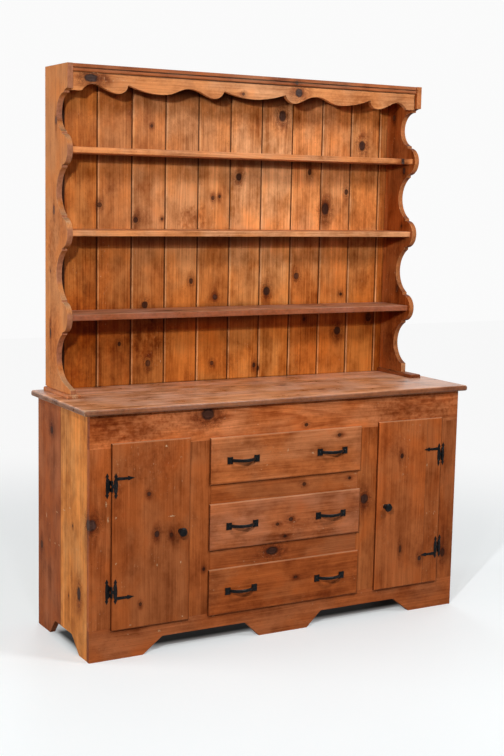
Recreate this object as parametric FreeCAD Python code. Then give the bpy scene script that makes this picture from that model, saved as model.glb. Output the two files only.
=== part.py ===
import FreeCAD, Part
import math
import os

# Pine china hutch: a cupboard base with two doors and three drawers, and an open shelf top on it.
# Millimetres. The front faces -Y, +Z is up, X runs left to right.
# The origin is on the floor at the middle of the space that the closed hutch takes up.

# Overall sizes
base_width = 1478.0
base_depth = 463.0
counter_height = 842.0
hutch_side_inset = 26.5
hutch_depth = 203.0

# Counter
counter_thickness = 20.0
counter_side_overhang = 26.0
counter_front_overhang = 22.0
counter_edge_radius = 7.0
counter_corner_radius = 6.0

# Board thicknesses
frame_board = 20.0
base_side_board = 20.0
partition_board = 18.0
floor_board = 18.0
cupboard_shelf_board = 18.0
back_panel_board = 6.0
hutch_side_board = 20.0
hutch_shelf_board = 20.0
hutch_top_board = 20.0
frieze_board = 19.0
lining_board = 14.0

# Face frame of the base
skirt_height = 108.0
top_rail_height = 112.0
mid_stile_width = 90.0
outer_stile_width = 82.5

# Doors and drawer fronts: a thick front with a lip that laps the frame all round. The drawers share the
# height between skirt and top rail, with part of a rail seen between two of them.
lip_overlap = 8.0
lip_proud = 10.0
inset_thickness = 10.0
lip_edge_radius = 7.0
door_top_lap = 16.0
door_gap = 2.0
drawer_width = 610.0
drawer_rail_seen = 66.0
drawer_gap = 1.5
drawer_count = 3

# Drawer boxes and what they slide on
drawer_side_board = 12.0
drawer_back_board = 12.0
drawer_bottom_board = 5.0
drawer_back_clear = 27.0
drawer_side_drop = 16.0
drawer_back_drop = 12.0
drawer_bottom_lift = 9.0
drawer_groove = 5.0
drawer_guide_gap = 1.5
runner_width = 22.0
runner_height = 20.0
kicker_gap = 2.0

# Cupboard insides
cupboard_shelf_rise = 312.0
cupboard_shelf_setback = 45.0
cleat_width = 20.0
cleat_height = 25.0
side_rabbet = 12.0
catch_from_door_top = 116.0
catch_width = 26.0
catch_height = 44.0
catch_depth = 18.0
catch_nose_width = 11.0
catch_nose_height = 30.0
catch_nose_clear = 1.0
strike_edge = 1.0
strike_thickness = 1.5
strike_height = 36.0
catch_gap = 0.3

# Bracket feet of the base: foot, slope, then a flat arch
foot_arch_height = 55.0
foot_corner_length = 194.0
foot_corner_slope = 71.0
foot_middle_half = 98.0
foot_middle_slope = 57.0
foot_arch_radius = 12.0
side_front_foot = 85.0
side_front_slope = 65.0
side_rear_foot = 111.0
side_rear_slope = 48.0

# Shelf top: clear heights from the counter up, and the cut edge of its sides
counter_bay_height = 255.0
lower_bay_height = 263.0
upper_bay_height = 255.0
top_bay_height = 268.0
shelf_setback = 14.0
shelf_dado = 6.0
shelf_edge_radius = 3.0
lobe_radius = 51.0
lobe_step = 8.0
shoulder_depth = 49.0
scoop_depth = 49.0
side_straight_height = 81.0
side_nose_depth = 31.0
side_nose_drop = 7.0
side_nose_step = 6.0
toe_heel_rise = 37.0
toe_heel_depth = 47.0
toe_reach = 32.0
toe_tip_rise = 15.0
toe_hollow = 2.5
toe_break_depth = 40.0

# Runner feet between the shelf top and the counter
runner_foot_height = 13.0
runner_foot_width = 45.0
runner_foot_reach = 42.0
runner_foot_radius = 5.0

# Frieze and the small moulding on it. Its lower edge has three kinds of lobe between sharp cusps. A lobe is
# drawn by shares of its length and of the cusps' rise.
frieze_height = 90.0
frieze_setback = 14.0
frieze_rise = 30.0
frieze_tab_rise = 4.0
frieze_tab_width = 36.5
frieze_outer_cusp_in = 202.5
frieze_inner_cusp_half = 124.0
frieze_outer_shares = [(0.08, 0.6), (0.25, 0.93), (0.46, 0.57), (0.65, 0.13), (0.8, 0.0), (0.92, 0.2), (1, 1)]
frieze_inner_shares = [(0.12, 0.53), (0.32, 0.17), (0.46, 0.37), (0.57, 0.9), (0.645, 1.0), (0.75, 0.7),
                     (0.85, 0.17), (0.91, 0.07), (0.96, 0.33), (1, 1)]
frieze_middle_shares = [(0.23, 0.5), (0.5, 0.27), (0.77, 0.5), (1, 1)]
moulding_height = 25.0
moulding_proud = 8.0
moulding_groove_z = 12.0
moulding_groove_width = 3.5
moulding_groove_depth = 4.0
moulding_edge_radius = 3.0

# Back lining of the shelf top: upright tongued boards with V joints
lining_pitch = 131.6
lining_edge_strip_least = 25.0
lining_clear_of_counter = 0.3
lining_rabbet = 8.0
lining_tongue_length = 5.0
lining_tongue_thickness = 4.0
lining_tongue_gap = 0.5
lining_chamfer = 3.0

# Strap hinges of the doors, with arrow ends and one long arm on the door
hinge_from_door_top = 139.0
hinge_from_door_bottom = 134.0
hinge_plate = 1.5
hinge_height = 86.0
hinge_wing_middle = 34.0
hinge_arrow_length = 14.0
hinge_arrow_half = 6.5
hinge_neck_half = 3.5
hinge_neck_length = 3.0
hinge_barb = 1.0
frame_wing_width = 16.0
frame_wing_centre = 12.5
door_wing_inner = 7.0
door_wing_width = 14.0
arm_height = 23.0
arm_half_at_root = 5.5
arm_half_at_head = 4.0
arm_head_start = 56.0
arm_head_half = 7.5
arm_length = 81.0
knuckle_radius = 3.0
knuckle_bore_radius = 1.6
knuckle_length = 34.0
knuckle_share = 11.0
knuckle_gap = 0.3
knuckle_off_door = 0.8
pin_radius = 1.5
pin_tip_radius = 2.6
pin_tip_height = 3.0
pin_play = 0.3
hinge_screw_rise = 20.0
arm_screw_out = 46.0
screw_head_radius = 3.2
screw_head_top_radius = 1.2
screw_head_height = 1.4
screw_shank_radius = 1.3
screw_hole_radius = 1.45
screw_length = 9.0
screw_sides = 8

# Door knobs
knob_from_free_edge = 37.0
knob_radius = 15.0
knob_reach = 27.0
knob_plate_radius = 9.0
knob_plate_height = 3.0
knob_neck_radius = 5.5
knob_cap_height = 9.0
knob_edge = 2.0
knob_dish_radius = 9.0
knob_dish_depth = 1.5
knob_stud_radius = 2.0
knob_stud_hole_radius = 2.2
knob_stud_head_radius = 4.0
knob_stud_head_height = 2.0

# Bow pulls of the drawers
pull_from_end = 125.0
pull_centres = 104.0
pull_plate_width = 20.0
pull_plate_height = 25.0
pull_plate_hollow = 1.0
pull_plate_thickness = 3.0
pull_reach = 28.0
pull_bar_height = 11.0
pull_bar_thickness = 5.5
pull_root_from_screw = 4.5
pull_bar_chamfer = 1.8

# How far a cutting shape runs past a face
cut_margin = 1.0

# Places worked out from the sizes above
overall_depth = base_depth + lip_proud + pull_reach
front_y = -overall_depth / 2 + lip_proud + pull_reach
rear_y = front_y + base_depth
frame_back_y = front_y + frame_board
front_face_y = front_y - lip_proud
inset_back_y = front_y + inset_thickness
base_half = base_width / 2
case_inner_x = base_half - base_side_board
counter_low_z = counter_height - counter_thickness
top_rail_low_z = counter_low_z - top_rail_height
floor_low_z = skirt_height - floor_board
back_panel_y = rear_y - back_panel_board
front_low_z = skirt_height - lip_overlap
drawer_high_z = top_rail_low_z + lip_overlap
drawer_rails_seen = (drawer_count - 1) * drawer_rail_seen
drawer_front_height = (drawer_high_z - front_low_z - drawer_rails_seen) / drawer_count
drawer_pitch = drawer_front_height + drawer_rail_seen
drawer_side_height = drawer_front_height - 2 * lip_overlap - drawer_side_drop
drawer_box_depth = back_panel_y - drawer_back_clear - inset_back_y
drawer_opening_half = drawer_width / 2 - lip_overlap
pull_spacing = drawer_width - 2 * pull_from_end
door_opening_inner_x = drawer_opening_half + mid_stile_width
door_opening_outer_x = base_half - outer_stile_width
door_inner_x = door_opening_inner_x - lip_overlap
door_outer_x = door_opening_outer_x + lip_overlap
door_high_z = top_rail_low_z + door_top_lap
knob_height_z = (front_low_z + door_high_z) / 2
catch_z = door_high_z - catch_from_door_top
cupboard_shelf_z = skirt_height + cupboard_shelf_rise
partition_outer_x = drawer_opening_half + partition_board
hutch_half = base_half - hutch_side_inset
hutch_inner_x = hutch_half - hutch_side_board
hutch_front_y = rear_y - hutch_depth
hutch_low_z = counter_height + runner_foot_height
shelf_lower_z = counter_height + counter_bay_height + hutch_shelf_board
shelf_middle_z = shelf_lower_z + lower_bay_height + hutch_shelf_board
shelf_upper_z = shelf_middle_z + upper_bay_height + hutch_shelf_board
overall_height = shelf_upper_z + top_bay_height
side_straight_low_z = overall_height - side_straight_height
toe_heel_z = hutch_low_z + toe_heel_rise
toe_tip_z = hutch_low_z + toe_tip_rise
frieze_low_z = overall_height - frieze_height
lining_y = rear_y - lining_board
lining_half = hutch_inner_x + lining_rabbet
lining_boards_each_side = int((lining_half - lining_edge_strip_least) / lining_pitch)
shelf_front_y = hutch_front_y + shelf_setback
frieze_y = hutch_front_y + frieze_setback
shoulder_y = hutch_front_y + shoulder_depth
pin_x = door_outer_x + knuckle_off_door
pin_y = front_face_y - knuckle_radius - knuckle_gap
hinge_heights = (door_high_z - hinge_from_door_top, front_low_z + hinge_from_door_bottom)


def at(x, y, z):
    return FreeCAD.Vector(x, y, z)


def box(x0, x1, y0, y1, z0, z1):
    """A box between two corners, given in either order."""
    low = at(min(x0, x1), min(y0, y1), min(z0, z1))
    return Part.makeBox(abs(x1 - x0), abs(y1 - y0), abs(z1 - z0), low)


def post(x, y, z, radius, length, along):
    return Part.makeCylinder(radius, length, at(x, y, z), along)


def screw_rod(x, z, y0, y1, radius0, radius1):
    """A rod along Y with a few flat sides, for screws and their holes; it may taper from y0 to y1."""
    turns = [2 * math.pi * i / screw_sides for i in range(screw_sides + 1)]
    ends = []
    for y, radius in ((y0, radius0), (y1, radius1)):
        corners = [at(x + radius * math.cos(turn), y, z + radius * math.sin(turn)) for turn in turns]
        ends.append(Part.makePolygon(corners))
    return Part.makeLoft(ends, True, True)


def fused(shapes):
    whole = shapes[0]
    if len(shapes) > 1:
        whole = whole.fuse(shapes[1:])
    return whole.removeSplitter()


def save(name, shapes):
    """Write one sub-part; a list holds its separate solids."""
    if not isinstance(shapes, list):
        shapes = [shapes]
    solids = []
    for shape in shapes:
        solids.extend(shape.Solids)
    whole = solids[0] if len(solids) == 1 else Part.makeCompound(solids)
    whole.exportStep("parts/" + name + ".step")


def mirrored(shape):
    """The same piece on the other side of the middle plane."""
    return shape.mirror(at(0, 0, 0), at(1, 0, 0))


def on_both_sides(shape):
    return [shape, mirrored(shape)]


def outline(place, start, steps):
    """A closed face. Each step is a line's end, an arc's middle and end, or a list for a smooth curve."""
    edges = []
    here = start
    for step in steps:
        if isinstance(step, list):
            curve = Part.BSplineCurve()
            curve.interpolate(Points=[place(*point) for point in [here] + step])
            edges.append(curve.toShape())
            here = step[-1]
        elif isinstance(step[0], tuple):
            edges.append(Part.Arc(place(*here), place(*step[0]), place(*step[1])).toShape())
            here = step[1]
        else:
            edges.append(Part.makeLine(place(*here), place(*step)))
            here = step
    if here != start:
        edges.append(Part.makeLine(place(*here), place(*start)))
    return Part.Face(Part.Wire(edges))


def board_facing_front(start, steps, y0, y1):
    """A board seen from the front: its outline is given as (x, z) pairs."""
    face = outline(lambda x, z: at(x, y0, z), start, steps)
    return face.extrude(at(0, y1 - y0, 0))


def board_facing_side(start, steps, x0, x1):
    """A board seen from the side: its outline is given as (y, z) pairs."""
    face = outline(lambda y, z: at(x0, y, z), start, steps)
    return face.extrude(at(x1 - x0, 0, 0))


def board_from_above(start, steps, z0, z1):
    """A piece seen from above: its outline is given as (x, y) pairs."""
    face = outline(lambda x, y: at(x, y, z0), start, steps)
    return face.extrude(at(0, 0, z1 - z0))


def edges_where(shape, test):
    """The edges whose every corner and middle pass the test."""
    found = []
    for edge in shape.Edges:
        middle = edge.valueAt((edge.FirstParameter + edge.LastParameter) / 2)
        points = [vertex.Point for vertex in edge.Vertexes] + [middle]
        if all(test(point) for point in points):
            found.append(edge)
    return found


def near(a, b):
    return abs(a - b) < 0.01


# Base case

def counter_top():
    half = base_half + counter_side_overhang
    front = front_y - counter_front_overhang
    slab = box(-half, half, front, rear_y, counter_low_z, counter_height)
    corners = edges_where(slab, lambda p: near(p.y, front) and near(abs(p.x), half))
    slab = slab.makeFillet(counter_corner_radius, corners)
    rims = edges_where(slab, lambda p: not near(p.y, rear_y) and
                       (near(p.z, counter_height) or near(p.z, counter_low_z)))
    ends = edges_where(slab, lambda p: near(abs(p.x), half) and
                       (near(p.z, counter_height) or near(p.z, counter_low_z)))
    return slab.makeFillet(counter_edge_radius, rims + ends)


def foot_arch(foot_edge, foot_slope, far_edge, far_slope):
    """Outline steps of one arch, from the end of one foot to the start of the next."""
    way = 1 if far_edge > foot_edge else -1
    rise = (foot_edge + way * foot_slope, foot_arch_height)
    fall = (far_edge - way * far_slope, foot_arch_height)
    return [(foot_edge, 0), rise, fall, (far_edge, 0)]


def rounded_arch(shape, test):
    """Ease the two upper corners of an arch."""
    corners = edges_where(shape, lambda p: near(p.z, foot_arch_height) and test(p))
    return shape.makeFillet(foot_arch_radius, corners)


def face_skirt():
    foot_end = base_half - foot_corner_length
    steps = foot_arch(-foot_end, foot_corner_slope, -foot_middle_half, foot_middle_slope)
    steps = steps + foot_arch(foot_middle_half, foot_middle_slope, foot_end, foot_corner_slope)
    steps = steps + [(base_half, 0), (base_half, skirt_height), (-base_half, skirt_height)]
    board = board_facing_front((-base_half, 0), steps, front_y, frame_back_y)
    corner_x = (foot_end - foot_corner_slope, foot_middle_half + foot_middle_slope)
    return rounded_arch(board, lambda p: near(abs(p.x), corner_x[0]) or near(abs(p.x), corner_x[1]))


def face_top_rail():
    return box(-base_half, base_half, front_y, frame_back_y, top_rail_low_z, counter_low_z)


def face_stile(side):
    return box(side * door_opening_outer_x, side * base_half, front_y, frame_back_y,
               skirt_height, top_rail_low_z)


def face_mid_stile(side):
    return box(side * drawer_opening_half, side * door_opening_inner_x, front_y, frame_back_y,
               skirt_height, top_rail_low_z)


def drawer_low_z(index):
    """Lower edge of a drawer front; the lowest drawer is number 0."""
    return front_low_z + index * drawer_pitch


def drawer_opening_low_z(index):
    return drawer_low_z(index) + lip_overlap


def drawer_opening_high_z(index):
    return drawer_low_z(index) + drawer_front_height - lip_overlap


def drawer_rail(index):
    """The rail above drawer number index."""
    return box(-drawer_opening_half, drawer_opening_half, front_y, frame_back_y,
               drawer_opening_high_z(index), drawer_opening_low_z(index + 1))


def side_screw_holes(side):
    """Pilot holes of the hinge screws in a stile."""
    return [screw_hole(side * (pin_x + out), front_y, z + rise) for out, z, rise in frame_screw_places()]


def base_side(side):
    front_foot_end = front_y + side_front_foot
    rear_foot_end = rear_y - side_rear_foot
    steps = foot_arch(front_foot_end, side_front_slope, rear_foot_end, side_rear_slope)
    steps = steps + [(rear_y, 0), (rear_y, counter_low_z), (frame_back_y, counter_low_z)]
    board = board_facing_side((frame_back_y, 0), steps, side * case_inner_x, side * base_half)
    board = rounded_arch(board, lambda p: near(p.y, front_foot_end + side_front_slope) or
                         near(p.y, rear_foot_end - side_rear_slope))
    rabbet = box(side * case_inner_x, side * (case_inner_x + side_rabbet), back_panel_y, rear_y,
                 floor_low_z, counter_low_z)
    return board.cut(rabbet)


def base_floor():
    return box(-case_inner_x, case_inner_x, frame_back_y, back_panel_y, floor_low_z, skirt_height)


def base_back():
    half = case_inner_x + side_rabbet
    return box(-half, half, back_panel_y, rear_y, floor_low_z, counter_low_z)


def partition(side):
    return box(side * drawer_opening_half, side * partition_outer_x, frame_back_y, back_panel_y,
               skirt_height, counter_low_z)


def cupboard_shelf(side):
    return box(side * partition_outer_x, side * case_inner_x, frame_back_y + cupboard_shelf_setback,
               back_panel_y, cupboard_shelf_z - cupboard_shelf_board, cupboard_shelf_z)


def shelf_cleats():
    high_z = cupboard_shelf_z - cupboard_shelf_board
    y0 = frame_back_y + cupboard_shelf_setback
    outer = box(case_inner_x - cleat_width, case_inner_x, y0, back_panel_y, high_z - cleat_height, high_z)
    inner = box(partition_outer_x, partition_outer_x + cleat_width, y0, back_panel_y,
                high_z - cleat_height, high_z)
    return on_both_sides(outer) + on_both_sides(inner)


def runner_x():
    return drawer_opening_half - runner_width


def drawer_runners():
    """Strips that the upper drawers slide on; the lowest drawer slides on the floor board."""
    strips = []
    for index in range(1, drawer_count):
        z = drawer_opening_low_z(index)
        strip = box(runner_x(), drawer_opening_half, frame_back_y, back_panel_y, z - runner_height, z)
        strips.extend(on_both_sides(strip))
    return strips


def drawer_kickers():
    """Strips above the drawer sides that stop a pulled drawer from tipping."""
    strips = []
    for index in range(drawer_count):
        z = drawer_opening_low_z(index) + drawer_side_height + kicker_gap
        strip = box(runner_x(), drawer_opening_half, frame_back_y, back_panel_y, z, z + runner_height)
        strips.extend(on_both_sides(strip))
    return strips


def door_catch(side):
    """A magnetic catch behind the mid stile, with its nose in the door opening."""
    tip_x = side * (door_opening_inner_x + catch_nose_width)
    low_z = catch_z - catch_height / 2
    case = box(side * (door_opening_inner_x - catch_width + catch_nose_width), tip_x,
               frame_back_y, frame_back_y + catch_depth, low_z, low_z + catch_height)
    nose_y = inset_back_y + strike_thickness + catch_gap
    nose = box(side * (door_opening_inner_x + catch_nose_clear), tip_x, nose_y, frame_back_y + catch_depth,
               catch_z - catch_nose_height / 2, catch_z + catch_nose_height / 2)
    return fused([case, nose])


# Doors and drawers

def lipped_front(x0, x1, z0, z1, inset_x0, inset_x1, inset_z0, inset_z1):
    """A front board: the lip laps the frame, and the thinner back part fits in the opening."""
    lip = box(x0, x1, front_face_y, front_y, z0, z1)
    rim = edges_where(lip, lambda p: near(p.y, front_face_y))
    lip = lip.makeFillet(lip_edge_radius, rim)
    inset = box(inset_x0, inset_x1, front_y, inset_back_y, inset_z0, inset_z1)
    return fused([lip, inset])


def through_hole(x, z, radius):
    """A hole through the whole thickness of a door or drawer front."""
    return screw_rod(x, z, front_face_y - cut_margin, inset_back_y + cut_margin, radius, radius)


def door_panel(side):
    inner = side * (door_opening_inner_x + door_gap)
    outer = side * (door_opening_outer_x - door_gap)
    panel = lipped_front(side * door_inner_x, side * door_outer_x, front_low_z, door_high_z,
                         inner, outer, skirt_height + door_gap, top_rail_low_z - door_gap)
    holes = [screw_hole(side * (pin_x - out), front_face_y, z + rise) for out, z, rise in door_screw_places()]
    stud = through_hole(side * knob_x(), knob_height_z, knob_stud_hole_radius)
    return panel.cut(holes + [stud])


def drawer_front(index):
    half = drawer_width / 2
    inset = drawer_opening_half - drawer_gap
    z0 = drawer_low_z(index)
    panel = lipped_front(-half, half, z0, z0 + drawer_front_height, -inset, inset,
                         drawer_opening_low_z(index) + drawer_gap,
                         drawer_opening_high_z(index) - drawer_gap)
    groove_z = drawer_bottom_z(index)
    groove_half = drawer_box_half() - drawer_side_board + drawer_groove
    groove = box(-groove_half, groove_half, inset_back_y - drawer_groove, inset_back_y,
                 groove_z, groove_z + drawer_bottom_board)
    holes = [screw_hole(x, front_face_y, pull_z(index)) for x in pull_screw_places()]
    return panel.cut([groove] + holes)


def drawer_box_half():
    return drawer_opening_half - drawer_guide_gap


def drawer_bottom_z(index):
    return drawer_opening_low_z(index) + drawer_bottom_lift


def drawer_sides(index):
    """Two sides with a groove for the bottom."""
    outer = drawer_box_half()
    inner = outer - drawer_side_board
    z0 = drawer_opening_low_z(index)
    side = box(inner, outer, inset_back_y, inset_back_y + drawer_box_depth, z0, z0 + drawer_side_height)
    groove_z = drawer_bottom_z(index)
    groove = box(inner, inner + drawer_groove, inset_back_y, inset_back_y + drawer_box_depth,
                 groove_z, groove_z + drawer_bottom_board)
    return on_both_sides(side.cut(groove))


def drawer_back(index):
    half = drawer_box_half() - drawer_side_board
    y1 = inset_back_y + drawer_box_depth
    z0 = drawer_bottom_z(index) + drawer_bottom_board
    z1 = drawer_opening_low_z(index) + drawer_side_height - drawer_back_drop
    return box(-half, half, y1 - drawer_back_board, y1, z0, z1)


def drawer_bottom(index):
    """A thin panel in the grooves of the sides and the front, under the back."""
    half = drawer_box_half() - drawer_side_board + drawer_groove
    z0 = drawer_bottom_z(index)
    return box(-half, half, inset_back_y - drawer_groove, inset_back_y + drawer_box_depth,
               z0, z0 + drawer_bottom_board)


# Hinges, knobs and pulls

def screw_hole(x, y, z):
    """A pilot hole that starts a little in front of the face at y and runs into the wood."""
    end_y = y + screw_length + cut_margin
    return screw_rod(x, z, y - cut_margin, end_y, screw_hole_radius, screw_hole_radius)


def wood_screw(x, y, z):
    """A screw whose low pyramid-like head sits on the face at y."""
    head = screw_rod(x, z, y - screw_head_height, y, screw_head_top_radius, screw_head_radius)
    shank = screw_rod(x, z, y, y + screw_length, screw_shank_radius, screw_shank_radius)
    return fused([head, shank])


def knob_stud(x, z):
    """The knob's own stud through the door, with a flat nut on the inner face."""
    shank = screw_rod(x, z, front_face_y, inset_back_y, knob_stud_radius, knob_stud_radius)
    head = screw_rod(x, z, inset_back_y, inset_back_y + knob_stud_head_height, knob_stud_head_radius,
                     knob_stud_head_radius)
    return fused([shank, head])


def frame_screw_places():
    """Distance out from the pin, hinge height and rise for each screw of the frame wings."""
    places = []
    for z in hinge_heights:
        for rise in (hinge_screw_rise, 0.0, -hinge_screw_rise):
            places.append((frame_wing_centre, z, rise))
    return places


def door_screw_places():
    """The same for the door wings; the arm has one of the three."""
    centre = door_wing_inner + door_wing_width / 2
    places = []
    for z, up in zip(hinge_heights, (1, -1)):
        places.append((centre, z, -up * hinge_screw_rise))
        places.append((centre, z, 0.0))
        places.append((arm_screw_out, z, up * arm_height))
    return places


def arrow_up(centre, way):
    """Outline steps up one side of the neck, round the arrow end and down to the other side."""
    base = hinge_height / 2 - hinge_arrow_length
    neck = base - hinge_neck_length
    steps = [(centre - hinge_neck_half, neck), (centre - hinge_neck_half, base),
             (centre - hinge_arrow_half, base + hinge_barb), (centre, hinge_height / 2),
             (centre + hinge_arrow_half, base + hinge_barb), (centre + hinge_neck_half, base),
             (centre + hinge_neck_half, neck)]
    if way < 0:
        steps = [(u, -v) for u, v in reversed(steps)]
    return steps


def wing_outline(inner, width, centre):
    """Outline of a wing as (distance from the pin, height) pairs; its outer edge is bowed."""
    half = hinge_wing_middle / 2
    start = (inner, -half)
    steps = [(inner, half)] + arrow_up(centre, 1)
    low = arrow_up(centre, -1)
    steps.append(((inner + width, 0), low[0]))
    return start, steps + low[1:]


def flat_plate(side, y0, y1, hinge_z, outward, start, steps, turn=1):
    """A plate in the front view; outward is +1 away from the door and -1 onto it."""
    def place(u, v):
        return at(side * (pin_x + outward * u), y0, hinge_z + turn * v)
    return outline(place, start, steps).extrude(at(0, y1 - y0, 0))


def knuckle(side, z0, z1):
    return post(side * pin_x, pin_y, z0, knuckle_radius, z1 - z0, at(0, 0, 1))


def pin_bore(side, hinge_z):
    return post(side * pin_x, pin_y, hinge_z - hinge_height / 2, knuckle_bore_radius, hinge_height,
                at(0, 0, 1))


def frame_wing(side, hinge_z):
    """The wing on the face frame, cranked forward to the two end knuckles."""
    start, steps = wing_outline(knuckle_radius - hinge_plate, frame_wing_width, frame_wing_centre)
    wing = flat_plate(side, front_y - hinge_plate, front_y, hinge_z, 1, start, steps)
    crank = []
    ends = []
    half = knuckle_length / 2
    for z0, z1 in ((-half, -half + knuckle_share), (half - knuckle_share, half)):
        crank.append(box(side * (pin_x + knuckle_radius - hinge_plate), side * (pin_x + knuckle_radius),
                         pin_y, front_y, hinge_z + z0, hinge_z + z1))
        ends.append(knuckle(side, hinge_z + z0, hinge_z + z1))
    whole = fused([wing] + crank + ends)
    holes = [screw_hole(side * (pin_x + frame_wing_centre), front_y - hinge_plate, hinge_z + rise)
             for rise in (hinge_screw_rise, 0.0, -hinge_screw_rise)]
    return whole.cut([pin_bore(side, hinge_z)] + holes)


def door_wing(side, hinge_z, turn):
    """The wing on the door, with the long arm; turn is +1 with the arm at its top."""
    centre = door_wing_inner + door_wing_width / 2
    face = front_face_y
    start, steps = wing_outline(door_wing_inner, door_wing_width, centre)
    wing = flat_plate(side, face - hinge_plate, face, hinge_z, -1, start, steps)
    arm_start = (centre, arm_height - arm_half_at_root)
    arm_steps = [(arm_head_start, arm_height - arm_half_at_head),
                 (arm_head_start + hinge_barb, arm_height - arm_head_half),
                 (arm_length, arm_height),
                 (arm_head_start + hinge_barb, arm_height + arm_head_half),
                 (arm_head_start, arm_height + arm_half_at_head),
                 (centre, arm_height + arm_half_at_root)]
    arm = flat_plate(side, face - hinge_plate, face, hinge_z, -1, arm_start, arm_steps, turn)
    half = knuckle_length / 2 - knuckle_share - knuckle_gap
    tab = box(side * pin_x, side * (pin_x - centre), face - hinge_plate, face, hinge_z - half, hinge_z + half)
    whole = fused([wing, arm, tab, knuckle(side, hinge_z - half, hinge_z + half)])
    holes = [screw_hole(side * (pin_x - out), face - hinge_plate, z + rise)
             for out, z, rise in door_screw_places() if z == hinge_z]
    return whole.cut([pin_bore(side, hinge_z)] + holes)


def hinge_pin(side, hinge_z):
    """A loose pin with a small acorn tip at each end."""
    half = knuckle_length / 2 + pin_play
    rod = post(side * pin_x, pin_y, hinge_z - half, pin_radius, 2 * half, at(0, 0, 1))
    upper = Part.makeCone(pin_tip_radius, pin_radius / 2, pin_tip_height,
                          at(side * pin_x, pin_y, hinge_z + half), at(0, 0, 1))
    lower = Part.makeCone(pin_tip_radius, pin_radius / 2, pin_tip_height,
                          at(side * pin_x, pin_y, hinge_z - half), at(0, 0, -1))
    return fused([rod, upper, lower])


def hinge_frame_wings():
    return [frame_wing(side, z) for side in (-1, 1) for z in hinge_heights]


def hinge_pins():
    return [hinge_pin(side, z) for side in (-1, 1) for z in hinge_heights]


def hinge_frame_screws():
    return [wood_screw(side * (pin_x + out), front_y - hinge_plate, z + rise)
            for side in (-1, 1) for out, z, rise in frame_screw_places()]


def door_hinge_wings(side):
    return [door_wing(side, z, turn) for z, turn in zip(hinge_heights, (1, -1))]


def door_hinge_screws(side):
    return [wood_screw(side * (pin_x - out), front_face_y - hinge_plate, z + rise)
            for out, z, rise in door_screw_places()]


def door_strike(side):
    """The thin steel plate on the door's back that the catch holds."""
    inner_x = door_opening_inner_x + door_gap + strike_edge
    return box(side * inner_x, side * (door_opening_inner_x + catch_nose_width), inset_back_y,
               inset_back_y + strike_thickness, catch_z - strike_height / 2, catch_z + strike_height / 2)


def knob_x():
    return door_inner_x + knob_from_free_edge


def door_knob(side):
    """A turned iron knob: plate, waist and a dished cap, with its stud through the door."""
    cap_start = knob_reach - knob_cap_height
    steps = [(knob_plate_radius, 0), (knob_plate_radius - knob_edge / 2, knob_plate_height),
             ((knob_neck_radius, (knob_plate_height + cap_start) / 2), (knob_plate_radius, cap_start)),
             (knob_radius - knob_edge / 2, cap_start + knob_edge / 2),
             (knob_radius, cap_start + knob_cap_height / 2 - knob_edge / 2),
             (knob_radius - knob_edge, knob_reach - knob_edge),
             (knob_dish_radius, knob_reach),
             (knob_dish_radius - knob_edge, knob_reach - knob_dish_depth),
             (0, knob_reach - knob_dish_depth)]
    place_x = side * knob_x()
    face = outline(lambda r, out: at(place_x + r, front_face_y - out, knob_height_z), (0, 0), steps)
    turned = face.revolve(at(place_x, front_face_y, knob_height_z), at(0, 1, 0), 360)
    return fused([turned, knob_stud(place_x, knob_height_z)])


def pull_z(index):
    return drawer_low_z(index) + drawer_front_height / 2


def pull_screw_places():
    """The four screw places of a drawer's two pulls."""
    places = []
    for side in (-1, 1):
        for end in (-1, 1):
            places.append(side * pull_spacing / 2 + end * pull_centres / 2)
    return places


def pull_plate(x, z):
    """An end plate with slightly hollow top and bottom edges."""
    half = pull_plate_width / 2
    high = pull_plate_height / 2
    mid = high - pull_plate_hollow
    steps = [((x, z - mid), (x + half, z - high)), (x + half, z + high),
             ((x, z + mid), (x - half, z + high))]
    return board_facing_front((x - half, z - high), steps, front_face_y - pull_plate_thickness, front_face_y)


def bow_pull(x, z):
    """A bow pull: a bent bar between two plates, its roots just inside their screws."""
    foot = pull_centres / 2 - pull_root_from_screw
    inner_foot = foot - pull_bar_thickness
    base_y = front_face_y - pull_plate_thickness / 2
    crown_y = front_face_y - pull_reach
    start = (x - foot, base_y)
    steps = [((x, crown_y), (x + foot, base_y)), (x + inner_foot, base_y),
             ((x, crown_y + pull_bar_thickness), (x - inner_foot, base_y))]
    half = pull_bar_height / 2
    bar = board_from_above(start, steps, z - half, z + half)
    rims = [edge for edge in bar.Edges if near(abs(edge.CenterOfMass.z - z), half) and
            edge.CenterOfMass.y < front_face_y - pull_plate_thickness]
    bar = bar.makeChamfer(pull_bar_chamfer, rims)
    ends = (x - pull_centres / 2, x + pull_centres / 2)
    plates = [pull_plate(end, z) for end in ends]
    holes = [screw_hole(end, front_face_y - pull_plate_thickness, z) for end in ends]
    return fused([bar] + plates).cut(holes)


def drawer_pulls(index):
    """Two pulls and the four screws that hold them."""
    z = pull_z(index)
    pulls = [bow_pull(side * pull_spacing / 2, z) for side in (-1, 1)]
    screw_y = front_face_y - pull_plate_thickness
    return pulls + [wood_screw(x, screw_y, z) for x in pull_screw_places()]


# Shelf top

def shelf_centres():
    """Mid heights of the shelves, from the top down."""
    return [z - hutch_shelf_board / 2 for z in (shelf_upper_z, shelf_middle_z, shelf_lower_z)]


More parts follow.
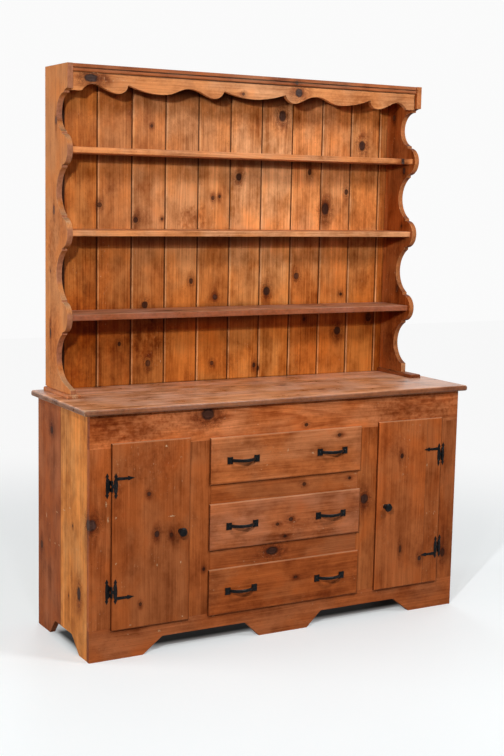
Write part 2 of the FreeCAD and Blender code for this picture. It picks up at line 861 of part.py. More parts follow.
def scalloped_edge():
    """Front edge of a side from the top down: a scoop between lobes, one lobe at each shelf."""
    deep_y = shoulder_y + scoop_depth
    nose_y = hutch_front_y + side_nose_depth
    nose_z = side_straight_low_z - side_nose_drop
    nose_mid = (hutch_front_y + side_nose_depth * 0.6, side_straight_low_z - side_nose_drop * 0.3)
    steps = [(hutch_front_y, side_straight_low_z), (nose_mid, (nose_y, nose_z)),
             (nose_y, nose_z - side_nose_step)]
    scoop_high_z = nose_z - side_nose_step
    for centre in shelf_centres():
        scoop_low_z = centre + lobe_radius + lobe_step
        steps.append(((deep_y, (scoop_high_z + scoop_low_z) / 2), (shoulder_y, scoop_low_z)))
        steps.append((shoulder_y, centre + lobe_radius))
        steps.append(((hutch_front_y, centre), (shoulder_y, centre - lobe_radius)))
        scoop_high_z = centre - lobe_radius - lobe_step
        steps.append((shoulder_y, scoop_high_z))
    heel_y = hutch_front_y + toe_heel_depth
    tip_y = hutch_front_y - toe_reach
    steps.append(((deep_y, (scoop_high_z + toe_heel_z) / 2), (heel_y, toe_heel_z)))
    hollow = ((heel_y + tip_y) / 2, (toe_heel_z + toe_tip_z) / 2 - toe_hollow)
    steps.append((hollow, (tip_y, toe_tip_z)))
    return steps


def hutch_side(side):
    tip_y = hutch_front_y - toe_reach
    start = (rear_y, hutch_low_z)
    steps = [(rear_y, overall_height), (hutch_front_y, overall_height)]
    steps = steps + scalloped_edge() + [(tip_y, hutch_low_z)]
    board = board_facing_side(start, steps, side * hutch_inner_x, side * hutch_half)
    cuts = [box(side * hutch_inner_x, side * lining_half, lining_y, rear_y, hutch_low_z, overall_height)]
    for z in (shelf_lower_z, shelf_middle_z, shelf_upper_z):
        cuts.append(box(side * hutch_inner_x, side * (hutch_inner_x + shelf_dado), shelf_front_y, lining_y,
                        z - hutch_shelf_board, z))
    if side > 0:
        # The toe of the right side has split off along the grain
        cuts.append(box(hutch_inner_x - cut_margin, hutch_half + cut_margin, tip_y - cut_margin,
                        hutch_front_y + toe_break_depth, hutch_low_z, toe_heel_z))
    return board.cut(cuts)


def hutch_shelf(top_z):
    half = hutch_inner_x + shelf_dado
    shelf = box(-half, half, shelf_front_y, lining_y, top_z - hutch_shelf_board, top_z)
    rims = edges_where(shelf, lambda p: near(p.y, shelf_front_y) and not near(abs(p.x), half))
    middle = [edge for edge in shelf.Edges if near(edge.CenterOfMass.y, shelf_front_y) and
              near(edge.CenterOfMass.x, 0)]
    return shelf.makeFillet(shelf_edge_radius, rims + middle)


def hutch_top():
    return box(-hutch_inner_x, hutch_inner_x, frieze_y + frieze_board, lining_y,
               overall_height - hutch_top_board, overall_height)


def frieze_lobe(x0, x1, shares):
    """Points of one lobe of the frieze's lower edge, from x0 to x1."""
    return [(x0 + along * (x1 - x0), frieze_low_z + up * frieze_rise) for along, up in shares]


def frieze():
    """A shaped board: end tabs, then round lobes that hook up to sharp cusps, the same on each half."""
    half = hutch_inner_x
    tab = (half - frieze_tab_width, frieze_low_z + frieze_tab_rise)
    cusp_x = half - frieze_outer_cusp_in
    outer = frieze_lobe(tab[0], cusp_x, frieze_outer_shares)
    inner = frieze_lobe(cusp_x, frieze_inner_cusp_half, frieze_inner_shares)
    middle = frieze_lobe(frieze_inner_cusp_half, -frieze_inner_cusp_half, frieze_middle_shares)
    inner_back = [(-x, z) for x, z in reversed([outer[-1]] + inner[:-1])]
    outer_back = [(-x, z) for x, z in reversed([tab] + outer[:-1])]
    steps = [tab, outer, inner, middle, inner_back, outer_back, (-half, tab[1]), (-half, overall_height),
             (half, overall_height)]
    return board_facing_front((half, tab[1]), steps, frieze_y, frieze_y + frieze_board)


def cornice_moulding():
    """A strip with rounded edges and a narrow groove along it, on the frieze between the sides."""
    front = frieze_y - moulding_proud
    low_z = overall_height - moulding_height
    strip = box(-hutch_inner_x, hutch_inner_x, front, frieze_y, low_z, overall_height)
    edges = [edge for edge in strip.Edges if near(edge.CenterOfMass.y, front) and
             near(edge.CenterOfMass.x, 0)]
    strip = strip.makeFillet(moulding_edge_radius, edges)
    groove_z = overall_height - moulding_groove_z
    groove = box(-hutch_inner_x, hutch_inner_x, front, front + moulding_groove_depth,
                 groove_z - moulding_groove_width, groove_z)
    return strip.cut(groove)


def runner_foot(side):
    """A flat strip under a side of the shelf top, rounded at its front and along its top edges."""
    middle = hutch_half - hutch_side_board / 2
    half = runner_foot_width / 2
    front = hutch_front_y - runner_foot_reach
    strip = box(side * (middle - half), side * (middle + half), front, lining_y, counter_height, hutch_low_z)
    rims = edges_where(strip, lambda p: near(p.z, hutch_low_z))
    rims = [edge for edge in rims if not near(edge.CenterOfMass.y, lining_y)]
    return strip.makeFillet(runner_foot_radius, rims)


def lining_section(x0, x1, tongue, groove):
    """Plan outline of one lining board; the tongue is on its right and the groove on its left."""
    y0 = lining_y
    y1 = rear_y
    mid_y = (y0 + y1) / 2
    half = lining_tongue_thickness / 2
    start = (x0 + lining_chamfer, y0) if groove else (x0, y0)
    steps = []
    if tongue:
        steps = [(x1 - lining_chamfer, y0), (x1, y0 + lining_chamfer), (x1, mid_y - half),
                 (x1 + lining_tongue_length, mid_y - half), (x1 + lining_tongue_length, mid_y + half),
                 (x1, mid_y + half), (x1, y1)]
    else:
        steps = [(x1, y0), (x1, y1)]
    steps.append((x0, y1))
    if groove:
        half = half + lining_tongue_gap / 2
        deep = x0 + lining_tongue_length + lining_tongue_gap
        steps = steps + [(x0, mid_y + half), (deep, mid_y + half), (deep, mid_y - half),
                         (x0, mid_y - half), (x0, y0 + lining_chamfer)]
    return start, steps


def back_lining():
    """Upright boards from just above the counter to the top, an edge strip at each side."""
    count = lining_boards_each_side
    seams = [-lining_half] + [i * lining_pitch for i in range(-count, count + 1)] + [lining_half]
    boards = []
    for i in range(len(seams) - 1):
        last = i == len(seams) - 2
        start, steps = lining_section(seams[i], seams[i + 1], not last, i > 0)
        boards.append(board_from_above(start, steps, counter_height + lining_clear_of_counter,
                                       overall_height))
    return boards


def build():
    os.makedirs("parts", exist_ok=True)
    save("counter_top", counter_top())
    save("face_skirt", face_skirt())
    save("face_top_rail", face_top_rail())
    save("drawer_rail_lower", drawer_rail(0))
    save("drawer_rail_upper", drawer_rail(1))
    save("base_floor", base_floor())
    save("base_back", base_back())
    save("shelf_cleats", shelf_cleats())
    save("drawer_runners", drawer_runners())
    save("drawer_kickers", drawer_kickers())
    save("door_catches", [door_catch(-1), door_catch(1)])
    save("hinge_frame_wings", hinge_frame_wings())
    save("hinge_pins", hinge_pins())
    save("hinge_frame_screws", hinge_frame_screws())
    for name, side in (("left", -1), ("right", 1)):
        save("base_side_" + name, base_side(side))
        save("face_stile_" + name, face_stile(side).cut(side_screw_holes(side)))
        save("face_mid_stile_" + name, face_mid_stile(side))
        save("partition_" + name, partition(side))
        save("cupboard_shelf_" + name, cupboard_shelf(side))
        save("door_" + name + "_panel", door_panel(side))
        save("door_" + name + "_hinge_wings", door_hinge_wings(side))
        save("door_" + name + "_hinge_screws", door_hinge_screws(side))
        save("door_" + name + "_knob", door_knob(side))
        save("door_" + name + "_strike", door_strike(side))
        save("hutch_side_" + name, hutch_side(side))
        save("hutch_foot_" + name, runner_foot(side))
    for name, index in (("bottom", 0), ("middle", 1), ("top", 2)):
        save("drawer_" + name + "_front", drawer_front(index))
        save("drawer_" + name + "_sides", drawer_sides(index))
        save("drawer_" + name + "_back", drawer_back(index))
        save("drawer_" + name + "_panel", drawer_bottom(index))
        save("drawer_" + name + "_pulls", drawer_pulls(index))
    for name, z in (("lower", shelf_lower_z), ("middle", shelf_middle_z), ("upper", shelf_upper_z)):
        save("hutch_shelf_" + name, hutch_shelf(z))
    save("hutch_top", hutch_top())
    save("hutch_frieze", frieze())
    save("hutch_moulding", cornice_moulding())
    save("hutch_back_boards", back_lining())


build()
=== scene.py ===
import math
import random

import bpy
from mathutils import Matrix, Vector


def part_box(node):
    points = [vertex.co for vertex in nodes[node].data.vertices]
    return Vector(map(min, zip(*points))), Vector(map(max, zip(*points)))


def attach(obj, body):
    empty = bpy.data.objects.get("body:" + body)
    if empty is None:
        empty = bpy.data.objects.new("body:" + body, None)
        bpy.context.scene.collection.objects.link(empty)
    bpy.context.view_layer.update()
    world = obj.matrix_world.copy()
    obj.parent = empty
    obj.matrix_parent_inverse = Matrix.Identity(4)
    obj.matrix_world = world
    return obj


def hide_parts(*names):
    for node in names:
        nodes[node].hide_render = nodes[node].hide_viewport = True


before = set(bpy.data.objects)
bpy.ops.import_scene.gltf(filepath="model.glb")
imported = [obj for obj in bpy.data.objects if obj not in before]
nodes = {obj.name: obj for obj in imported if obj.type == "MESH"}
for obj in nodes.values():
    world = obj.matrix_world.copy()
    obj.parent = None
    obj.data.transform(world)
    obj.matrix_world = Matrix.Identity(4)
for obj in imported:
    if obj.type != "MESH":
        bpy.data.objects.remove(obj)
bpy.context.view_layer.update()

# Places and lengths are in metres, and in mm where they are written against MM or a comment says so.
MM = 0.001
LINING_PITCH = 131.6 * MM
DOOR_FACE_Y = -222.5 * MM
SIDES = ("left", "right")
HEIGHTS = ("top", "middle", "bottom")

# Camera, its angles in degrees
CAMERA_PLACE = (-2.3541, -4.0849, 1.5310)
CAMERA_ANGLES = (29.675, 7.891, 1.167)
CAMERA_LENS = 63.176

# Light and floor
AMBIENT = 0.06
SEEN_WHITE = 0.96
KEY_DISTANCE = 2.6
LARGE_LAMP = 0.5
FLOOR_HALF = 9.0
FLOOR_GLOW = 0.935
FLOOR_LIFT = 0.29
FLOOR_FADE = (1.3, 3.4)
# Half sizes of the box under the base that holds the floor's painted shadow
FLOOR_SHADOW_BOX = (0.700, 0.118)

# Tones, written as screen colours
HONEY = (198, 133, 82)
GOLD_SIDE = (202, 130, 66)
RED_SIDE = (152, 84, 46)
COUNTER_TONE = (208, 152, 114)
RAW_PINE = (206, 158, 104)
RAW_PLY = (204, 166, 118)

# What multiplies a board's tone, as linear values
DARK_WOOD = (0.46, 0.33, 0.18, 1.0)
BRIGHT_WOOD = (1.48, 1.69, 2.15, 1.0)
WARM_PATCH = (1.07, 0.89, 0.64, 1.0)
RED_PATCH = (0.78, 0.58, 0.42, 1.0)
LATE_WOOD = (0.62, 0.44, 0.28, 1.0)
SPECK = (0.45, 0.33, 0.26, 1.0)
KNOT_GLOW = (0.46, 0.28, 0.17, 1.0)
MURK = (0.52, 0.36, 0.22, 1.0)
END_GRAIN = (0.50, 0.44, 0.42, 1.0)
SHADED_EDGE = (0.16, 0.10, 0.07, 1.0)
PLY_WAVE = (0.72, 0.58, 0.44, 1.0)
FLOOR_DIM = (0.53, 0.53, 0.53, 1.0)

# Colours that lie on top of a board's tone, as linear values
KNOT_DARK = (0.026, 0.008, 0.004, 1.0)
KNOT_LIGHT = (0.110, 0.034, 0.013, 1.0)
KNOT_GREY = (0.062, 0.046, 0.046, 1.0)
KNOT_BARK = (0.014, 0.005, 0.003, 1.0)
DARK_GRIME_AND_SHADE = (0.020, 0.007, 0.003, 1.0)
BARE_DARK = (0.48, 0.26, 0.125, 1.0)
BARE_LIGHT = (0.64, 0.42, 0.25, 1.0)
LINING_JOINT_AND_SHADE = (0.045, 0.013, 0.004, 1.0)
LINING_PAINTED_HIGHLIGHT = (0.70, 0.36, 0.16, 1.0)
GLUE_LINE = (0.045, 0.016, 0.007, 1.0)
FLOOR_PAINT = (0.67, 0.705, 0.715, 1.0)
FLOOR_LIGHT = (0.985, 0.995, 1.0, 1.0)
WHITE = (1.0, 1.0, 1.0, 1.0)


def linear(colour):
    """A screen colour of 0 to 255 as the linear values that a shader takes."""
    out = []
    for part in colour:
        share = part / 255.0
        out.append(share / 12.92 if share <= 0.04045 else ((share + 0.055) / 1.055) ** 2.4)
    return tuple(out) + (1.0,)


class Net:
    """Short ways to add and join the nodes of one tree."""

    def __init__(self, tree):
        self.tree = tree

    def add(self, kind, **settings):
        node = self.tree.nodes.new(kind)
        for key, value in settings.items():
            setattr(node, key, value)
        return node

    def feed(self, socket, value):
        if isinstance(value, bpy.types.NodeSocket):
            self.tree.links.new(value, socket)
        else:
            socket.default_value = value

    def math(self, operation, *values, clamp=False):
        node = self.add("ShaderNodeMath", operation=operation, use_clamp=clamp)
        for socket, value in zip(node.inputs, values):
            self.feed(socket, value)
        return node.outputs[0]

    def plus(self, first, second):
        return self.math("ADD", first, second)

    def minus(self, first, second):
        return self.math("SUBTRACT", first, second)

    def times(self, first, second):
        return self.math("MULTIPLY", first, second)

    def larger(self, first, second):
        return self.math("MAXIMUM", first, second)

    def size(self, value):
        return self.math("ABSOLUTE", value)

    def vector(self, operation, *values):
        node = self.add("ShaderNodeVectorMath", operation=operation)
        for socket, value in zip(node.inputs, values):
            self.feed(socket, value)
        return node.outputs["Value"] if operation == "LENGTH" else node.outputs[0]

    def split(self, vector):
        node = self.add("ShaderNodeSeparateXYZ")
        self.feed(node.inputs[0], vector)
        return node.outputs[0], node.outputs[1], node.outputs[2]

    def join(self, x, y, z):
        node = self.add("ShaderNodeCombineXYZ")
        for socket, value in zip(node.inputs, (x, y, z)):
            self.feed(socket, value)
        return node.outputs[0]

    def noise(self, vector, scale, detail, roughness=0.5):
        node = self.add("ShaderNodeTexNoise")
        self.feed(node.inputs["Vector"], vector)
        node.inputs["Scale"].default_value = scale
        node.inputs["Detail"].default_value = detail
        node.inputs["Roughness"].default_value = roughness
        return node.outputs["Fac"]

    def chance(self, number):
        """A random value and colour for each number."""
        node = self.add("ShaderNodeTexWhiteNoise", noise_dimensions="1D")
        self.feed(node.inputs["W"], number)
        return node.outputs

    def step(self, value, low, high, at_low=0.0, at_high=1.0):
        """A soft step of value from low to high."""
        node = self.add("ShaderNodeMapRange", interpolation_type="SMOOTHSTEP", clamp=True)
        for socket, part in zip(node.inputs, (value, low, high, at_low, at_high)):
            self.feed(socket, part)
        return node.outputs[0]

    def mix(self, factor, first, second, blend="MIX"):
        node = self.add("ShaderNodeMix", data_type="RGBA", blend_type=blend)
        self.feed(node.inputs[0], factor)
        self.feed(node.inputs[6], first)
        self.feed(node.inputs[7], second)
        return node.outputs[2]

    def tinted(self, colour, tint):
        """A colour times another colour."""
        return self.mix(1.0, colour, tint, "MULTIPLY")

    def scaled(self, colour, amount):
        """A colour times a number."""
        return self.tinted(colour, self.join(amount, amount, amount))

    def emission(self, colour, strength):
        node = self.add("ShaderNodeEmission")
        self.feed(node.inputs["Color"], colour)
        self.feed(node.inputs["Strength"], strength)
        return node.outputs[0]

    def bumped(self, shader, height, strength, distance):
        """Gives the shader a bump of that height."""
        bump = self.add("ShaderNodeBump")
        bump.inputs["Strength"].default_value = strength
        bump.inputs["Distance"].default_value = distance
        self.feed(bump.inputs["Height"], height)
        self.feed(shader.inputs["Normal"], bump.outputs[0])


def new_group(name, inputs, outputs):
    """An empty node group with the named sockets: its tree, a Net on it, and both ends."""
    tree = bpy.data.node_groups.new(name, "ShaderNodeTree")
    for label, kind in inputs:
        tree.interface.new_socket(label, in_out="INPUT", socket_type="NodeSocket" + kind)
    for label, kind in outputs:
        tree.interface.new_socket(label, in_out="OUTPUT", socket_type="NodeSocket" + kind)
    net = Net(tree)
    return tree, net, net.add("NodeGroupInput").outputs, net.add("NodeGroupOutput").inputs


def new_material(name):
    """An empty material: itself, a Net on its tree, and its shader."""
    material = bpy.data.materials.new(name)
    material.use_nodes = True
    return material, Net(material.node_tree), material.node_tree.nodes["Principled BSDF"]


KNOT_MARKS = ("Core", "Rim", "Flare", "Grey")


def make_knot_group():
    """One knot: the point with the grain pushed aside, and the knot's core, bark ring and glow."""
    inputs = [("Point", "Vector"), ("Centre", "Vector"), ("Radius", "Float"), ("Stretch", "Float")]
    inputs += [("Wobble", "Float"), ("Greyness", "Float")]
    marks = [(mark, "Float") for mark in KNOT_MARKS]
    tree, net, given, out = new_group("pine_knot", inputs + marks, [("Point", "Vector")] + marks)
    across, _, along = net.split(net.vector("SUBTRACT", given["Point"], given["Centre"]))
    along = net.math("DIVIDE", along, given["Stretch"])
    across_2 = net.times(across, across)
    along_2 = net.times(along, along)
    radius_2 = net.times(given["Radius"], given["Radius"])

    def reach(square):
        """How far out a point is, in knot radii, from the square of its distance."""
        return net.math("DIVIDE", net.math("SQRT", square), given["Radius"])

    # The grain bends round the knot
    bend_2 = net.plus(across_2, net.times(along_2, 0.22))
    push = net.math("DIVIDE", radius_2, net.larger(bend_2, radius_2))
    shift = net.times(net.times(across, push), 0.9)
    net.feed(out["Point"], net.vector("SUBTRACT", given["Point"], net.join(shift, 0.0, 0.0)))

    # The core, its ring of bark with whiskers and ripples, and a glow along the grain
    far = reach(net.plus(across_2, along_2))
    far = net.times(far, net.plus(net.times(given["Wobble"], 0.9), 1.0))
    core = net.step(far, 0.80, 1.12, 1.0, 0.0)
    rim = net.times(net.step(far, 0.55, 0.85), net.step(far, 1.0, 1.45, 1.0, 0.0))
    rim = net.times(rim, net.step(given["Wobble"], -0.14, 0.10, 0.35, 1.0))
    whisker = reach(net.plus(net.times(across_2, 5.0), net.times(along_2, 0.10)))
    rim = net.larger(rim, net.step(whisker, 0.45, 1.0, 0.45, 0.0))
    wave = net.plus(net.times(far, 1.9), net.times(given["Wobble"], 1.2))
    wave = net.size(net.minus(net.math("FRACT", wave), 0.5))
    ripple = net.times(net.step(wave, 0.20, 0.44), net.step(far, 1.4, 3.6, 0.60, 0.0))
    rim = net.larger(rim, net.times(ripple, net.step(far, 1.0, 1.3)))
    glow = net.step(reach(net.plus(across_2, net.times(along_2, 0.3))), 0.7, 3.2, 1.0, 0.0)
    found = {"Core": core, "Rim": rim, "Flare": glow, "Grey": net.times(core, given["Greyness"])}
    for mark, value in found.items():
        net.feed(out[mark], net.larger(given[mark], value))
    return tree


def distance_in_oval(net, given):
    """How far out a point is in an oval of the given half sizes, with a ragged outline."""
    away = net.vector("SUBTRACT", given["Point"], given["Centre"])
    away = net.vector("DIVIDE", away, given["Half"])
    far = net.vector("LENGTH", net.vector("MULTIPLY", away, (1.0, 0.0, 1.0)))
    return net.plus(far, given["Speckle"])


OVAL_SOCKETS = [("Point", "Vector"), ("Centre", "Vector"), ("Half", "Vector"), ("Speckle", "Float")]


def make_chip_group():
    """One pale nick where the old finish is gone."""
    inputs = OVAL_SOCKETS + [("Chip", "Float")]
    tree, net, given, out = new_group("pine_chip", inputs, [("Chip", "Float")])
    nick = net.step(distance_in_oval(net, given), 0.75, 1.0, 1.0, 0.0)
    net.feed(out["Chip"], net.larger(given["Chip"], nick))
    return tree


def make_blot_group():
    """One soft dark cloud that fades out from its middle."""
    inputs = OVAL_SOCKETS + [("Strength", "Float"), ("Blot", "Float")]
    tree, net, given, out = new_group("pine_blot", inputs, [("Blot", "Float")])
    cloud = net.step(distance_in_oval(net, given), 0.25, 1.0, 1.0, 0.0)
    net.feed(out["Blot"], net.larger(given["Blot"], net.times(cloud, given["Strength"])))
    return tree


PINE_FLOATS = ("Pith", "Depth", "Tilt", "Spacing", "Contrast", "Figure", "Seed", "End", "Side", "Top",
               "Murk", "Grime_and_shade", "Wear", "Chip")


def make_pine_group():
    """Old finished pine: year rings, fibre, streaks, stains, knots and nicks of one board."""
    inputs = [("Point", "Vector"), ("Tone", "Color")]
    inputs += [(name, "Float") for name in PINE_FLOATS + KNOT_MARKS]
    outputs = [("Color", "Color"), ("Roughness", "Float"), ("Height", "Float")]
    tree, net, given, out = new_group("pine_board", inputs, outputs)
    across, depth, along = net.split(given["Point"])
    seed = given["Seed"]

    def field(across_scale, along_scale, offset):
        """The board's own place in a noise, stretched along the grain."""
        return net.join(
            net.plus(net.times(across, across_scale), net.times(seed, 3.17 + offset)),
            net.plus(net.times(depth, across_scale), net.times(seed, 1.73)),
            net.plus(net.times(along, along_scale), net.times(seed, 5.39)),
        )

    # Year rings round a heart that lies Pith to one side and Depth below the face
    sway = net.minus(net.noise(field(4.0, 1.5, 0.0), 1.0, 1.0), 0.5)
    waver = net.minus(net.noise(field(26.0, 5.0, 0.4), 1.0, 2.0), 0.5)
    from_pith = net.minus(across, given["Pith"])
    below = net.plus(depth, given["Depth"])
    ring = net.math("SQRT", net.plus(net.times(from_pith, from_pith), net.times(below, below)))
    ring = net.plus(ring, net.times(along, given["Tilt"]))
    ring = net.plus(ring, net.times(sway, 0.045))
    ring = net.plus(ring, net.times(waver, 0.0045))
    ring = net.math("DIVIDE", ring, given["Spacing"])
    share = net.math("FRACT", ring)
    late = net.times(net.step(share, 0.25, 0.84), net.step(share, 0.9, 1.0, 1.0, 0.0))
    strength = net.chance(net.plus(net.math("FLOOR", ring), seed))["Value"]
    late = net.times(late, net.plus(net.times(strength, 0.7), 0.3))
    broken = net.step(net.noise(field(14.0, 4.0, 3.7), 1.0, 2.0), 0.34, 0.64, 0.15, 1.0)
    late = net.times(late, broken)

    # Light and dark along the grain, and patches
    fibre = net.noise(field(420.0, 9.0, 0.9), 1.0, 2.0)
    line = net.step(net.noise(field(170.0, 1.5, 1.1), 1.0, 2.0, 0.6), 0.30, 0.70)
    streak = net.noise(field(62.0, 2.0, 1.3), 1.0, 2.0, 0.55)
    band = net.noise(field(24.0, 2.6, 1.9), 1.0, 2.0)
    stain = net.noise(field(13.0, 9.0, 2.3), 1.0, 5.0, 0.68)
    light = 0.5
    for part, weight in ((fibre, 0.6), (line, 0.20), (streak, 0.42), (band, 0.75), (stain, 1.75)):
        light = net.plus(light, net.times(net.minus(part, 0.5), net.times(given["Figure"], weight)))
    dark = net.tinted(given["Tone"], DARK_WOOD)
    bright = net.tinted(given["Tone"], BRIGHT_WOOD)
    colour = net.mix(net.math("ADD", light, 0.0, clamp=True), dark, bright)
    patch = net.step(net.noise(field(8.0, 5.0, 4.7), 1.0, 3.0), 0.40, 0.62, 0.0, 0.9)
    colour = net.mix(patch, colour, net.tinted(colour, WARM_PATCH))
    colour = net.mix(net.step(stain, 0.54, 0.74, 0.0, 0.6), colour, net.tinted(colour, RED_PATCH))
    colour = net.mix(net.times(late, given["Contrast"]), colour, net.tinted(colour, LATE_WOOD))
    spot = net.step(net.noise(field(260.0, 150.0, 2.9), 1.0, 1.0), 0.68, 0.76, 0.0, 0.5)
    colour = net.mix(spot, colour, net.tinted(colour, SPECK))

    # Knots, and murk: dark clouds that are stains round knots and elsewhere, and painted shade on the right
    # side's inner face
    ragged = net.noise(field(70.0, 40.0, 4.1), 1.0, 3.0, 0.6)
    ragged = net.step(ragged, 0.32, 0.62, 0.25, 1.0)
    flare = net.times(net.times(given["Flare"], ragged), 0.85)
    colour = net.mix(flare, colour, net.tinted(colour, KNOT_GLOW))
    inside = net.mix(net.step(streak, 0.35, 0.65), KNOT_DARK, KNOT_LIGHT)
    colour = net.mix(net.times(given["Core"], 0.9), colour, inside)
    colour = net.mix(net.times(given["Grey"], 0.8), colour, KNOT_GREY)
    colour = net.mix(net.times(given["Rim"], 0.8), colour, KNOT_BARK)
    colour = net.mix(net.times(given["Murk"], ragged), colour, net.tinted(colour, MURK))

    # Ends, side faces with painted shade, painted shade and grime, nicks, upward faces with a painted
    # highlight, and worn places
    colour = net.mix(net.times(given["End"], 0.75), colour, net.tinted(colour, END_GRAIN))
    # Painted shade on faces to the left and right
    colour = net.mix(given["Side"], colour, net.tinted(colour, SHADED_EDGE))
    # Painted shade under and beside parts, and the counter's darker end
    colour = net.mix(net.times(given["Grime_and_shade"], 0.85), colour, DARK_GRIME_AND_SHADE)
    pale = net.mix(net.step(fibre, 0.3, 0.7), BARE_DARK, BARE_LIGHT)
    colour = net.mix(net.times(given["Chip"], 0.85), colour, pale)
    # A painted highlight: upward faces take part of the pale bare-wood colour
    colour = net.mix(given["Top"], colour, net.mix(0.45, colour, pale))
    fleck = net.step(net.noise(field(210.0, 90.0, 6.1), 1.0, 1.0), 0.70, 0.78)
    flecked = net.step(net.noise(field(9.0, 5.0, 7.3), 1.0, 2.0), 0.50, 0.66, 0.0, 0.6)
    colour = net.mix(net.times(fleck, flecked), colour, pale)
    rubbed = net.step(net.noise(field(30.0, 9.0, 3.3), 1.0, 2.0), 0.36, 0.66)
    colour = net.mix(net.times(given["Wear"], rubbed), colour, net.mix(0.45, colour, pale))
    net.feed(out["Color"], colour)

    rough = net.times(net.minus(stain, 0.5), 0.3)
    rough = net.plus(rough, net.times(net.minus(streak, 0.5), 0.15))
    net.feed(out["Roughness"], net.plus(rough, net.times(given["Chip"], 0.3)))

    height = net.times(late, 0.30)
    height = net.plus(height, net.times(fibre, 0.42))
    height = net.plus(height, net.times(waver, 0.8))
    height = net.minus(height, net.times(given["Rim"], 0.5))
    height = net.minus(height, net.times(given["Chip"], 1.2))
    net.feed(out["Height"], net.minus(height, net.times(spot, 0.6)))
    return tree


KNOT_GROUP = make_knot_group()
CHIP_GROUP = make_chip_group()
BLOT_GROUP = make_blot_group()
PINE_GROUP = make_pine_group()


class Face:
    """The face of a board that its marks lie on. A mark's place is a pair in mm on that face."""

    def __init__(self, low, high, grain, face):
        """The board's point runs across the grain, into the face and along the grain."""
        across = ({0, 1, 2} - {"xyz".index(grain), "xyz".index(face)}).pop()
        self.order = (across, "xyz".index(face), "xyz".index(grain))
        self.seen = [axis for axis in range(3) if axis != "xyz".index(face)]
        self.low, self.high = low, high
        self.centre = (low + high) / 2
        self.middle = self.centre[across]

    def point(self, pair, centre):
        """The place of a pair as the board's own point, from that centre."""
        place = dict(zip(self.seen, pair))
        return tuple(place[axis] * MM - centre[axis] if axis in place else 0.0 for axis in self.order)

    def spot(self, pair):
        """The place of a mark from the board's middle."""
        return self.point(pair, self.centre)

    def half(self, pair):
        """The half sizes of a mark, with no limit into the board."""
        return tuple(part if part > 0.0 else 1.0 for part in self.point(pair, (0.0, 0.0, 0.0)))

    def hidden_knots(self, seed, count):
        """A few knots at random places of a face that the photograph doesn't show."""
        draw = random.Random(seed)
        found = []
        for _ in range(count):
            place = [draw.uniform(self.low[i], self.high[i]) / MM for i in self.seen]
            radius, stretch = draw.uniform(4.0, 11.0), draw.uniform(1.0, 1.5)
            found.append((*place, radius, stretch, draw.choice((0.0, 0.0, 0.7))))
        return found


def chained(net, group, carried, marks):
    """Adds one group for each mark, each fed with the one before, and gives what comes out at the end.
    A mark is the dictionary of what its own group gets."""
    for mark in marks:
        node = net.add("ShaderNodeGroup", node_tree=group)
        for label, value in {**mark, **carried}.items():
            net.feed(node.inputs[label], value)
        carried = {label: node.outputs[label] for label in carried}
    return carried


def oval_marks(face, places, **same):
    """What a chip or blot group gets for each place."""
    marks = []
    for place in places:
        mark = dict(same, Centre=face.spot(place), Half=face.half(place[2:4]))
        if len(place) > 4:
            mark["Strength"] = place[4]
        marks.append(mark)
    return marks


def lining_boards(net, board, face, across, more):
    """Tongued boards side by side: each has its own heart, noise and tone, and a dark seam beside it, with
    painted shade to the seam's left and a painted highlight to its right.
    """
    pitch = more["pitch"]
    true_across = net.plus(across, face.middle)
    number = net.math("FLOOR", net.math("DIVIDE", true_across, pitch))
    local_across = net.minus(true_across, net.times(net.plus(number, 0.5), pitch))
    pushed_across, depth, along = net.split(board["Point"])
    moved = net.minus(pushed_across, across)
    red, green, blue = net.split(net.chance(net.plus(number, board["Seed"]))["Color"])
    board["Pith"] = net.times(net.minus(red, 0.5), 0.11)
    board["Depth"] = net.plus(net.times(green, 0.05), 0.03)
    board["Tilt"] = net.times(net.minus(blue, 0.5), 0.08)
    board["Seed"] = net.plus(number, board["Seed"])
    board["Point"] = net.join(net.plus(local_across, moved), depth, along)

    # The boards' tones stand in a ramp with hard steps, halved because a ramp ends at 1
    shades = more["shades"]
    count = len(shades)
    ramp_node = net.add("ShaderNodeValToRGB")
    ramp = ramp_node.color_ramp
    ramp.interpolation = "CONSTANT"
    for i, shade in enumerate(shades):
        stop = ramp.elements[i] if i < 1 else ramp.elements.new(i / count)
        stop.position = i / count
        stop.color = tuple(part / 2 for part in shade) + (1.0,)
    ramp.elements.remove(ramp.elements[count])
    net.feed(ramp_node.inputs[0], net.math("DIVIDE", net.plus(number, count / 2 + 0.5), float(count)))
    tone = net.mix(net.step(along, -0.38, 0.12), linear(more["low_tone"]), board["Tone"])
    tone = net.tinted(tone, net.scaled(ramp_node.outputs["Color"], 2.0))

    # A painted highlight on the right of each seam, where its chamfer faces the lamps, and the dark seam
    # with painted shade on its left
    from_right = net.minus(pitch / 2, local_across)
    from_left = net.plus(local_across, pitch / 2)
    painted_highlight = net.step(from_left, 0.0016, 0.0034)
    painted_highlight = net.times(painted_highlight, net.step(from_left, 0.0056, 0.0090, 0.6, 0.0))
    tone = net.mix(painted_highlight, tone, LINING_PAINTED_HIGHLIGHT)
    joint_and_shade = net.larger(net.step(from_right, 0.0016, 0.0070, 0.90, 0.0),
                       net.step(from_left, 0.0008, 0.0026, 0.90, 0.0))
    from_wide = net.size(net.minus(true_across, more["wide_joint"] * MM))
    joint_and_shade = net.larger(joint_and_shade, net.step(from_wide, 0.0050, 0.0085, 0.97, 0.0))
    board["Tone"] = net.mix(joint_and_shade, tone, LINING_JOINT_AND_SHADE)


